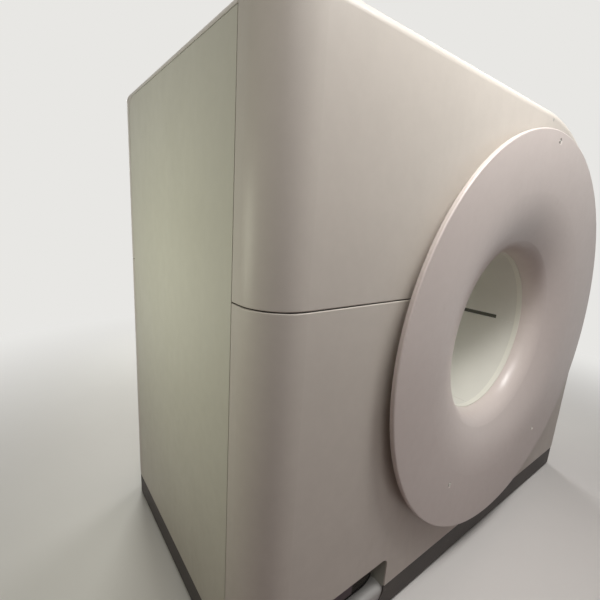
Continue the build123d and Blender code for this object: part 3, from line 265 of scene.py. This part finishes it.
def tunnel_skin(name, base):
    """Semi-gloss liner that is wiped clean: very faint wipe marks along the tunnel."""
    finish = Finish(name, coat_roughness=0.12)
    rounded = finish.soft_edges(0.0012)
    wipe = finish.noise(38.0, 3.0, 0.5, (1, 0.05, 1))
    slow = finish.noise(4.0, 3.0, 0.5)
    tone = finish.blend(slow.between(0.3, 0.7), base, shade(base, 0.955))
    tone = finish.blend(wipe.between(0.6, 0.9) * 0.012, tone, shade(base, 0.8))
    tone = finish.blend(finish.edge_wear(rounded) * 0.4, tone, shade(base, 1.1))
    finish.set(base_color=tone, roughness=0.28 + slow * 0.03 + wipe * 0.012,
               coat_weight=0.15 + slow * 0.15,
               normal=finish.bump(finish.noise(700.0, 2.0, 0.5), 0.00003, rounded))
    return finish.material


def grained_plastic(name, base, dusty):
    """Dark textured plastic: pebble grain, dust that settles on it and scuffs from shoes."""
    finish = Finish(name, specular_ior_level=0.45)
    rounded = finish.soft_edges(0.0014)
    pebbles = finish.cells(620.0) * 0.7 + finish.noise(1400.0, 2.0, 0.5) * 0.3
    slow = finish.noise(5.0, 4.0, 0.6)
    scuff = finish.noise(30.0, 5.0, 0.7, (0.35, 0.35, 1.6)).between(0.6, 0.72)
    tone = finish.blend(slow.between(0.3, 0.7), base, shade(base, 1.35))
    dust = scuff * dusty + slow.between(0.5, 0.8) * (dusty * 0.4)
    tone = finish.blend(dust, tone, colour(132, 126, 116))
    tone = finish.blend(finish.edge_wear(rounded) * 0.5, tone, colour(150, 144, 134))
    finish.set(base_color=tone, roughness=0.52 + pebbles * 0.14 - scuff * 0.08,
               normal=finish.bump(pebbles, 0.00022, rounded))
    return finish.material


def shaded_grey_moulding(name):
    """Dark purplish grey moulding, its colour painted shade of the shadowed recess, with a fine
    spark texture, dustier towards its foot.
    """
    finish = Finish(name, specular_ior_level=0.45)
    rounded = finish.soft_edges(0.0008)
    grain = finish.noise(1100.0, 3.0, 0.6)
    slow = finish.noise(7.0, 3.0, 0.55)
    # Dark purplish greys: painted shade for the shadow in the recess
    tone = finish.blend(slow.between(0.3, 0.7), colour(112, 98, 104), colour(98, 86, 92))
    dust = finish.axis("Z").between(0.150, 0.112) * finish.noise(60.0, 4.0, 0.6).between(0.4, 0.7)
    tone = finish.blend(dust * 0.35, tone, colour(146, 138, 130))
    finish.set(base_color=tone, roughness=0.5 + grain * 0.12,
               normal=finish.bump(grain, 0.00012, rounded))
    return finish.material


def ground_steel(name, base, roughness, grooves=(1, 1, 1)):
    """Bare steel with grinding marks and slight staining."""
    finish = Finish(name)
    rounded = finish.soft_edges(0.0008)
    marks = finish.noise(900.0, 3.0, 0.6, grooves)
    stain = finish.noise(18.0, 4.0, 0.6)
    tone = finish.blend(stain.between(0.35, 0.7), base, shade(base, 0.78))
    tone = finish.blend(finish.edge_wear(rounded) * 0.6, tone, shade(base, 1.2))
    finish.set(base_color=tone, metallic=1 - stain.between(0.6, 0.9) * 0.15,
               roughness=roughness + marks.between(0.3, 0.7) * 0.16 + stain * 0.05,
               normal=finish.bump(marks, 0.00003, rounded))
    return finish.material


def turned_metal(name, base, roughness, pitch=0.0012):
    """Metal faced on a lathe: fine rings about the bore axis."""
    finish = Finish(name)
    rounded = finish.soft_edges(0.001)
    rings = (finish.radius() * (2 * math.pi / pitch)).sine()
    stain = finish.noise(14.0, 4.0, 0.6)
    grit = finish.noise(500.0, 2.0, 0.5)
    tone = finish.blend(stain.between(0.35, 0.7), base, shade(base, 0.82))
    tone = finish.blend(finish.edge_wear(rounded) * 0.5, tone, shade(base, 1.15))
    finish.set(base_color=tone, metallic=0.95 - stain.between(0.65, 0.9) * 0.2,
               roughness=roughness + grit * 0.12 + stain * 0.08,
               normal=finish.bump(rings * 0.5 + grit, 0.00002, rounded))
    return finish.material


def cast_metal(name, base):
    """Casting with a sandy skin under thin grey primer, bright on its rubbed edges."""
    finish = Finish(name)
    rounded = finish.soft_edges(0.002)
    sand = finish.noise(420.0, 4.0, 0.65) * 0.6 + finish.cells(240.0) * 0.4
    slow = finish.noise(7.0, 4.0, 0.6)
    tone = finish.blend(slow.between(0.3, 0.7), base, shade(base, 0.75))
    tone = finish.blend(finish.edge_wear(rounded) * 0.7, tone, colour(150, 150, 152))
    finish.set(base_color=tone, metallic=0.35 + slow * 0.2, roughness=0.55 + sand * 0.15,
               normal=finish.bump(sand, 0.00018, rounded))
    return finish.material


def drive_rubber(name, base):
    """Black rubber with moulding ribs and a chalky bloom."""
    finish = Finish(name, specular_ior_level=0.4)
    rounded = finish.soft_edges(0.001)
    ribs = (finish.axis("Y") * (2 * math.pi / 0.005)).sine()
    bloom = finish.noise(22.0, 5.0, 0.7).between(0.5, 0.75)
    tone = finish.blend(bloom * 0.5, base, colour(70, 69, 66))
    finish.set(base_color=tone, roughness=0.62 + bloom * 0.2,
               normal=finish.bump(ribs * 0.6 + finish.noise(800.0, 2.0) * 0.4, 0.0003, rounded))
    return finish.material


def seam_shade_foam(name):
    """Black cellular foam of the seam gaskets and the recess seal, its darkness painted shade:
    open pores and a little pale lint.
    """
    finish = Finish(name, specular_ior_level=0.3)
    rounded = finish.soft_edges(0.0004)
    pores = finish.cells(2600.0)
    lint = finish.noise(260.0, 4.0, 0.7).between(0.66, 0.8)
    tone = finish.blend(pores.between(0.2, 0.6), colour(12, 11, 11), colour(34, 32, 31))
    tone = finish.blend(lint * 0.3, tone, colour(120, 114, 104))
    finish.set(base_color=tone, roughness=0.86 + pores * 0.1,
               normal=finish.bump(pores, 0.0002, rounded))
    return finish.material


def smoked_window(name):
    """Dark glossy window strip of the positioning lights."""
    finish = Finish(name, specular_ior_level=0.6, coat_roughness=0.05)
    rounded = finish.soft_edges(0.0005)
    smear = finish.noise(40.0, 4.0, 0.6, (1, 0.2, 1))
    tone = finish.blend(smear.between(0.4, 0.7), colour(70, 70, 61), colour(86, 85, 76))
    finish.set(base_color=tone, roughness=0.16 + smear.between(0.35, 0.7) * 0.14,
               coat_weight=0.4 + smear * 0.2, normal=finish.bump(smear, 0.00002, rounded))
    return finish.material


COVER = colour(214, 208, 198)
finishes = {
    "shell": sprayed_paint("cover_satin_paint", COVER, 0.42, edge=0.0026, dirt=0.10),
    # The side panels' paint is a greenish copy of the cover paint: a painted tint of the greenish
    # light on the left side
    "side": sprayed_paint("side_panel_paint_tinted_by_light", colour(210, 209, 193), 0.38,
                          edge=0.0022, dirt=0.10),
    "bell": moulded_bell("bell_smooth_moulding", colour(216, 206, 200)),
    "liner": tunnel_skin("tunnel_liner_skin", colour(215, 214, 205)),
    "recess": sprayed_paint("recess_lining_paint", colour(176, 178, 166), 0.5,
                            edge=0.002, dull=0.12),
    "skirt": grained_plastic("skirt_grained_plastic", colour(52, 47, 44), 0.15),
    "dark": grained_plastic("matt_black_plastic", colour(26, 25, 25), 0.12),
    # The recess floor plate's colour is darkened a little: painted shade for the shadow at the
    # back of the recess
    "floor": sprayed_paint("recess_floor_shaded_paint", colour(184, 184, 181), 0.28, dull=0.10),
    "screw": ground_steel("screw_plated_steel", colour(206, 204, 198), 0.30),
    "frame": sprayed_paint("frame_grey_enamel", colour(120, 124, 130), 0.45,
                           peel=0.00012, dull=0.12),
    "steel": ground_steel("bearing_ground_steel", colour(186, 186, 188), 0.22, (1, 0.05, 1)),
    "iron": cast_metal("machined_iron", colour(104, 104, 108)),
    "alloy": turned_metal("turned_alloy", colour(190, 192, 196), 0.3),
    "brass": turned_metal("turned_brass", colour(200, 164, 92), 0.26, 0.0008),
    "box": sprayed_paint("housing_light_enamel", colour(178, 180, 178), 0.4,
                         peel=0.0001, dull=0.1),
    "rubber": drive_rubber("belt_rubber", colour(26, 26, 26)),
    "fan": grained_plastic("fan_black_plastic", colour(34, 34, 36), 0.15),
}

# The throat lips get a lighter copy of the liner skin: a painted highlight for the light on their
# rounded edge
lit_lip_finish = tunnel_skin("throat_lip_highlight_skin", colour(226, 225, 214))
for row in frame["record"]["subparts"]:
    node = frame["nodes"][row["node"]]
    chosen = lit_lip_finish if "throat_lip" in row["node"] else finishes[row["material_slot"]]
    if not node.material_slots:
        node.data.materials.append(None)
    for place in node.material_slots:
        place.material = chosen


SMOOTH_BELOW = math.radians(35)


def new_piece(name, parts, material):
    """Closed skins, each a list of rings of points, as one object that rides on the gantry."""
    made = bmesh.new()
    for rings in parts:
        loops = [[made.verts.new(point) for point in ring] for ring in rings]
        count = len(loops[0])
        for one, two in zip(loops, loops[1:]):
            for k in range(count):
                n = (k + 1) % count
                made.faces.new((one[k], one[n], two[n], two[k]))
        made.faces.new(loops[0])
        made.faces.new(loops[-1])
    bmesh.ops.recalc_face_normals(made, faces=made.faces)
    mesh = bpy.data.meshes.new(name)
    made.to_mesh(mesh)
    made.free()
    mesh.materials.append(material)
    mesh.shade_smooth()
    mesh.set_sharp_from_angle(angle=SMOOTH_BELOW)
    piece = bpy.data.objects.new(name, mesh)
    bpy.context.scene.collection.objects.link(piece)
    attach(piece, "gantry")


def bar(stations, section):
    """Rings of a bar that keeps its section, given as (depth, across), through the stations.

    A station is a point, the direction of depth and the direction across.
    """
    return [[point + deep * d + across * a for d, a in section]
            for point, deep, across in stations]


def turn(centre, radius, start, end, steps):
    """Points of an arc in a plane and the outward direction at each, angles in degrees."""
    for k in range(steps + 1):
        angle = math.radians(start + (end - start) * k / steps)
        outward = (math.cos(angle), math.sin(angle))
        yield (centre[0] + radius * outward[0], centre[1] + radius * outward[1]), outward


# Gaskets: half-round black foam a little below the covers' skin, in every seam. They are painted
# shade: dark strips that stand in for the shade in the open seams
JOINT_PLAY = 0.0003
GASKET_W, GASKET_TOP, GASKET_BACK = SEAM - JOINT_PLAY, 0.0032, 0.0058
HOLE_PLAY, SEAM_STOP = 0.002, 0.004


def foam_section():
    """Half-round nose towards the outside and a flat back, as (depth, across)."""
    half = GASKET_W / 2
    angles = [math.radians(30 * k - 90) for k in range(7)]
    nose = [(GASKET_TOP + half - half * math.cos(a), half * math.sin(a)) for a in angles]
    return nose + [(GASKET_BACK, half), (GASKET_BACK, -half)]


def body_outline():
    """Front view of the body's skin, from the left foot over the top to the right foot."""
    yield (LEFT_X, SKIRT_TOP), (-1, 0)
    yield from turn((LEFT_X + EDGE_R, TOP_Z - EDGE_R), EDGE_R, 180, 90, 8)
    yield from turn((BORE_X, ARCH_Z), ARCH_R, 90, 0, 48)
    yield (RIGHT_X, SKIRT_TOP), (1, 0)


def upright_shade_gasket(name, seam_y):
    """Black gasket of the seam that runs round the body beside a front or rear cover, standing in
    for the seam's shade.
    """
    stations = [(Vector((x, seam_y, z)), -Vector((ux, 0, uz)), Vector((0, 1, 0)))
                for (x, z), (ux, uz) in body_outline()]
    new_piece(name, [bar(stations, foam_section())], shade_foam)


def level_shade_gasket(name, face_y, seam_y, hole_r):
    """Black gasket between an upper and a lower cover, in two stretches beside the bell's opening,
    standing in for the seam's shade.
    """
    way = 1 if seam_y > face_y else -1
    half_gap = math.sqrt(hole_r ** 2 - (SPLIT_Z - BORE_Z) ** 2) + HOLE_PLAY
    arch_x = BORE_X + math.sqrt(ARCH_R ** 2 - (SPLIT_Z - ARCH_Z) ** 2)
    left = [((LEFT_X, seam_y - way * SEAM_STOP), (-1, 0)),
            *turn((LEFT_X + CORNER_R, face_y + way * CORNER_R), CORNER_R, 180, 180 + way * 90, 12),
            ((BORE_X - half_gap, face_y), (0, -way))]
    right = [((BORE_X + half_gap, face_y), (0, -way)),
             *turn((arch_x - SMALL_R, face_y + way * SMALL_R), SMALL_R, 360 - way * 90, 360, 4),
             ((arch_x, seam_y - way * SEAM_STOP), (1, 0))]
    stretches = [[(Vector((x, y, SPLIT_Z)), -Vector((ux, uy, 0)), Vector((0, 0, 1)))
                  for (x, y), (ux, uy) in stretch] for stretch in (left, right)]
    new_piece(name, [bar(stations, foam_section()) for stations in stretches], shade_foam)


# Black foam for pieces that stand in for shade: the cover seams and the foot of the recess screen
shade_foam = seam_shade_foam("seam_shade_foam")
upright_shade_gasket("front_seam_shade_gasket", FRONT_SEAM_Y)
upright_shade_gasket("rear_seam_shade_gasket", REAR_SEAM_Y)
level_shade_gasket("front_cover_shade_gasket", FRONT_Y, FRONT_SEAM_Y, FRONT_HOLE_R)
level_shade_gasket("rear_cover_shade_gasket", REAR_Y, REAR_SEAM_Y, REAR_HOLE_R)

# Pale bead that fills the joint between the left panel and the roof
BEAD_W, BEAD_DEPTH, BEAD_ROUND, BEAD_BACK = SEAM - JOINT_PLAY, 0.0008, 0.0006, 0.0045
BEAD_START, PANEL_CORNER_R = FRONT_SEAM_Y + 0.003, 0.060


def roof_bead():
    """Along the panel's top edge and down round its rear corner."""
    panel_top, panel_rear = high("side_panel_left", 2), high("side_panel_left", 1)
    middle = panel_top + SEAM / 2
    corner = (panel_rear - PANEL_CORNER_R, panel_top - PANEL_CORNER_R)
    path = [((BEAD_START, middle), (0, 1)),
            *turn(corner, PANEL_CORNER_R + SEAM / 2, 90, 4, 16)]
    half = BEAD_W / 2
    section = [(BEAD_DEPTH + BEAD_ROUND, -half), (BEAD_DEPTH, -half / 2), (BEAD_DEPTH, half / 2),
               (BEAD_DEPTH + BEAD_ROUND, half), (BEAD_BACK, half), (BEAD_BACK, -half)]
    stations = [(Vector((LEFT_X, y, z)), Vector((1, 0, 0)), Vector((0, uy, uz)))
                for (y, z), (uy, uz) in path]
    new_piece("roof_bead", [bar(stations, section)], finishes["recess"])


roof_bead()

# Screen across the foot recess: a dark grey panel whose colour is painted shade, a black woven
# filter and a black strip at its foot that stands in for the shadow there
LINING_T, RECESS_R = 0.004, 0.030
RECESS_LEFT, RECESS_RIGHT = low("recess_liner", 0) + LINING_T, high("recess_liner", 0) - LINING_T
RECESS_FLOOR, RECESS_TOP = low("recess_liner", 2), high("recess_liner", 2) - LINING_T
SCREEN_D, SCREEN_BEND_X, SCREEN_BEND_R = 0.048, -0.600, 0.175
SCREEN_T, SCREEN_PLAY, PANEL_EDGE = 0.003, 0.0006, 0.0008
FILTER_LEFT, FILTER_GAP, FILTER_PLAY = -0.644, 0.0004, 0.001
WIRE_R, WIRE_PITCH, WIRE_WAVE, WEAVE_D = 0.0009, 0.0054, 0.0010, 0.0015
WIRE_ANGLES = (0.5, 2.1, 3.7, 5.2)
SEAL_H, SEAL_T = 0.0065, 0.0045


def screen_at(x):
    """Screen's front face at x: a point on the floor line and the direction into the recess."""
    bend = max(0.0, x - SCREEN_BEND_X)
    angle = math.asin(bend / SCREEN_BEND_R)
    y = FRONT_Y + SCREEN_D + SCREEN_BEND_R * (1 - math.cos(angle))
    return Vector((x, y, RECESS_FLOOR)), Vector((-math.sin(angle), math.cos(angle), 0))


def screen_top(x):
    """Height of the recess above its floor at x, less the play."""
    short = max(0.0, RECESS_R - min(x - RECESS_LEFT, RECESS_RIGHT - x))
    return (RECESS_TOP - RECESS_R + math.sqrt(RECESS_R ** 2 - short ** 2)
            - SCREEN_PLAY - RECESS_FLOOR)


def spread(start, end, count):
    """Evenly spaced values from start to end."""
    return [start + (end - start) * k / (count - 1) for k in range(count)]


def recess_panel():
    """Flat part of the screen, with a softened front edge all round."""
    left, right = RECESS_LEFT + SCREEN_PLAY, FILTER_LEFT - FILTER_GAP
    places = [left, *spread(left + PANEL_EDGE, left + RECESS_R, 12), right - PANEL_EDGE, right]
    rings = []
    for x in places:
        foot, inward = screen_at(x)
        edge = PANEL_EDGE if x in (left, right) else 0.0
        top, bottom = screen_top(x) - edge, SCREEN_PLAY + edge
        ring = [(edge, bottom + PANEL_EDGE), (edge + PANEL_EDGE, bottom), (SCREEN_T, bottom),
                (SCREEN_T, top), (edge + PANEL_EDGE, top), (edge, top - PANEL_EDGE)]
        rings.append([foot + inward * d + Vector((0, 0, z)) for d, z in ring])
    new_piece("recess_panel", [rings], shaded_grey_moulding("recess_panel_shaded_grey_moulding"))


def recess_filter():
    """Woven filter of black wire, which bends back to the right wall of the recess."""
    left, right = FILTER_LEFT + FILTER_GAP, RECESS_RIGHT - SCREEN_PLAY - FILTER_PLAY
    across = int((right - left) / WIRE_PITCH)
    up = int((RECESS_TOP - RECESS_FLOOR - SEAL_H) / WIRE_PITCH)
    uprights = spread(left + WIRE_R, right - WIRE_R, across)
    rise = Vector((0, 0, 1))
    corners = [(WIRE_R * math.cos(a), WIRE_R * math.sin(a)) for a in WIRE_ANGLES]
    wires = []
    for i, x in enumerate(uprights):
        foot, inward = screen_at(x)
        along = inward.cross(rise)
        stations = []
        for j in range(2 * up + 1):
            z = SEAL_H + j * WIRE_PITCH / 2
            if z > screen_top(x) - WIRE_R:
                break
            sway = WIRE_WAVE * (1 if (i + j // 2) % 2 else -1) * (1 if j % 2 == 0 else 0)
            stations.append((foot + rise * z + inward * (WEAVE_D + sway), inward, along))
        wires.append(bar(stations, corners))
    for j in range(1, up):
        z = SEAL_H + j * WIRE_PITCH
        run = [(i, x) for i, x in enumerate(uprights) if screen_top(x) - WIRE_R > z]
        stations = []
        for i, x in run:
            foot, inward = screen_at(x)
            sway = WIRE_WAVE * (-1 if (i + j) % 2 else 1)
            stations.append((foot + rise * z + inward * (WEAVE_D + sway), inward, rise))
        if len(stations) > 2:
            wires.append(bar(stations, corners))
    new_piece("recess_filter", wires, finishes["dark"])


def recess_shadow_seal():
    """Black strip along the foot of the screen, with a lip that lies on the floor plate; it stands
    in for the shadow at the screen's foot.
    """
    section = [(-0.0016, 0.0003), (-0.0020, 0.0012), (-0.0012, SEAL_H - 0.0008),
               (-0.0004, SEAL_H), (SEAL_T - 0.0020, SEAL_H),
               (SEAL_T - 0.0012, SEAL_H - 0.0008), (SEAL_T - 0.0012, 0.0003)]
    stations = [(*screen_at(x), Vector((0, 0, 1)))
                for x in spread(RECESS_LEFT + SCREEN_PLAY, RECESS_RIGHT - SCREEN_PLAY, 60)]
    new_piece("recess_shadow_seal", [bar(stations, section)], shade_foam)


recess_panel()
recess_filter()
recess_shadow_seal()

# Smoked window in the slot of the tunnel liner, in front of the positioning lights
WINDOW_PLAY, WINDOW_SINK, WINDOW_T, WINDOW_CHAMFER = 0.0006, 0.0010, 0.0024, 0.0005


def tunnel_window():
    """Pane bent to the tunnel's curve, a little below the liner's inner face."""
    front = low("positioning_light_bar", 1) + WINDOW_PLAY
    length = high("positioning_light_bar", 1) - WINDOW_PLAY - front
    inner = BORE_R + WINDOW_SINK
    edge = WINDOW_CHAMFER
    section = [(0, edge), (edge, 0), (length - edge, 0), (length, edge),
               (length, WINDOW_T), (0, WINDOW_T)]
    foot = math.asin((WINDOW_PLAY - SLOT_LOW) / inner)
    head = math.asin((SLOT_H - SLOT_LOW - WINDOW_PLAY) / inner)
    stations = []
    for angle in spread(foot, head, 9):
        outward = Vector((math.cos(angle), 0, math.sin(angle)))
        point = Vector((BORE_X, front, BORE_Z)) + outward * inner
        stations.append((point, Vector((0, 1, 0)), outward))
    new_piece("tunnel_window", [bar(stations, section)], smoked_window("smoked_window"))


tunnel_window()

# Camera, fitted to the photograph: its place, its axes, then focal length and centre in pixels
CAMERA_AT = (-1.49331, -1.21532, 1.39809)
RIGHT = Vector((0.79940021, -0.59790261, 0.05892178))
DOWN = Vector((-0.08410453, -0.20847351, -0.97440506))
FORWARD = Vector((0.59488296, 0.77398402, -0.21694009))
FOCAL, CENTRE_X, CENTRE_Y = 366.829, 294.366, 301.933
FRAME_SIZE, SENSOR = 600.0, 36.0

lens = bpy.data.cameras.new("camera")
lens.sensor_width = SENSOR
lens.sensor_fit = "HORIZONTAL"
lens.lens = FOCAL / FRAME_SIZE * SENSOR
lens.shift_x = 0.5 - CENTRE_X / FRAME_SIZE
lens.shift_y = CENTRE_Y / FRAME_SIZE - 0.5
lens.clip_start, lens.clip_end = 0.02, 200.0
camera = bpy.data.objects.new("camera", lens)
bpy.context.scene.collection.objects.link(camera)
camera_turn = Matrix((RIGHT, -DOWN, -FORWARD)).transposed().to_4x4()
camera.matrix_world = Matrix.Translation(CAMERA_AT) @ camera_turn
bpy.context.scene.camera = camera

# Floor that fades into the pale background. It throws a darker, warmer light than it shows
BACKGROUND = colour(232, 231, 228)
FLOOR_PALE, FLOOR_MOTTLED = colour(230, 228, 224), colour(224, 222, 218)
FLOOR_BOUNCE = colour(134, 114, 112)
FADE_START, FADE_END = 1.6, 4.0


def floor_finish():
    """Pale studio floor: a little mottled, and lost in the background far from the object."""
    finish = Finish("studio_floor", roughness=0.8, specular_ior_level=0.2)
    shown = finish.shown()
    pale = finish.blend(finish.noise(1.5, 4.0, 0.6), FLOOR_PALE, FLOOR_MOTTLED)
    finish.set(base_color=finish.blend(shown, FLOOR_BOUNCE, pale))
    away = finish.vector("LENGTH", finish.place(), output="Value")
    glow = finish.node("ShaderNodeEmission", None, {"Color": BACKGROUND, "Strength": 1.0})
    faded = away.between(FADE_START, FADE_END) * shown
    mixed = finish.node("ShaderNodeMixShader", None, {0: faded, 1: finish.surface, 2: glow})
    finish.feed(finish.output.inputs["Surface"], mixed)
    return finish.material


def studio_floor(reach, rings, sides):
    """Round floor sheet, finer towards the middle."""
    sheet = bmesh.new()
    loops = []
    for k in range(1, rings + 1):
        circle = turn((0, 0), reach * (k / rings) ** 2, 0, 360 * (1 - 1 / sides), sides - 1)
        loops.append([sheet.verts.new((x, y, 0.0)) for (x, y), _ in circle])
    sheet.faces.new(loops[0])
    for inner, outer in zip(loops, loops[1:]):
        for s in range(sides):
            t = (s + 1) % sides
            sheet.faces.new((inner[s], outer[s], outer[t], inner[t]))
    mesh = bpy.data.meshes.new("studio_floor")
    sheet.to_mesh(mesh)
    sheet.free()
    mesh.materials.append(floor_finish())
    made = bpy.data.objects.new("studio_floor", mesh)
    bpy.context.scene.collection.objects.link(made)


studio_floor(reach=60.0, rings=24, sides=64)

# World: the background where it is seen, and a weak even light elsewhere
AMBIENT_TINT, AMBIENT = (1.0, 0.88, 0.89, 1.0), 0.09
world = bpy.data.worlds.new("studio")
world.use_nodes = True
bpy.context.scene.world = world
sky = Nodes(world.node_tree)
surround = sky.node("ShaderNodeBackground", None, {"Color": BACKGROUND, "Strength": 1.0})
ambient = sky.node("ShaderNodeBackground", None, {"Color": AMBIENT_TINT, "Strength": AMBIENT})
either = sky.node("ShaderNodeMixShader", None, {0: sky.shown(), 1: ambient, 2: surround})
sky.node("ShaderNodeOutputWorld", None, {"Surface": either})


def soft_lamp(name, at, aim, width, height, power, tint, beam=180):
    """Large rectangular lamp, aimed at a point. The beam is its full angle in degrees."""
    light = bpy.data.lights.new(name, "AREA")
    light.shape = "RECTANGLE"
    light.size, light.size_y = width, height
    light.energy = power
    light.color = tint
    light.spread = math.radians(beam)
    made = bpy.data.objects.new(name, light)
    bpy.context.scene.collection.objects.link(made)
    made.location = at
    made.rotation_mode = "QUATERNION"
    made.rotation_quaternion = (Vector(aim) - Vector(at)).to_track_quat("-Z", "Y")
    made.visible_camera = False


# Lamps: place, aim, width and height in metres, power in watts, tint
soft_lamp("left_lamp", (-2.0, 0.1, 1.25), (-1.09, 0.1, 1.2),
          0.6, 0.6, 4.4, (0.98, 1.0, 0.80))
soft_lamp("key_lamp", (-0.2, -1.2, 2.95), (0.1, -0.6, 0.9),
          0.9, 0.5, 20.5, (1.0, 0.98, 0.97), beam=140)
soft_lamp("front_left_lamp", (-1.1, -1.5, 3.0), (-0.2, -0.6, 1.0),
          0.8, 0.5, 12.5, (1.0, 0.97, 0.95))
soft_lamp("fill_lamp", (-1.8, -2.2, 2.8), (-0.2, -0.6, 1.0),
          1.2, 0.8, 5.0, (1.0, 0.94, 0.88))
soft_lamp("rear_lamp", (0.1, 3.5, 2.25), (0.2, 0.2, 0.8),
          1.6, 0.9, 75.0, (0.98, 1.0, 0.95))
soft_lamp("rear_right_lamp", (2.6, 2.4, 2.2), (0.4, 0.2, 1.0),
          1.4, 0.9, 44.0, (1.0, 1.0, 1.0))

bpy.context.scene.view_settings.view_transform = "Standard"
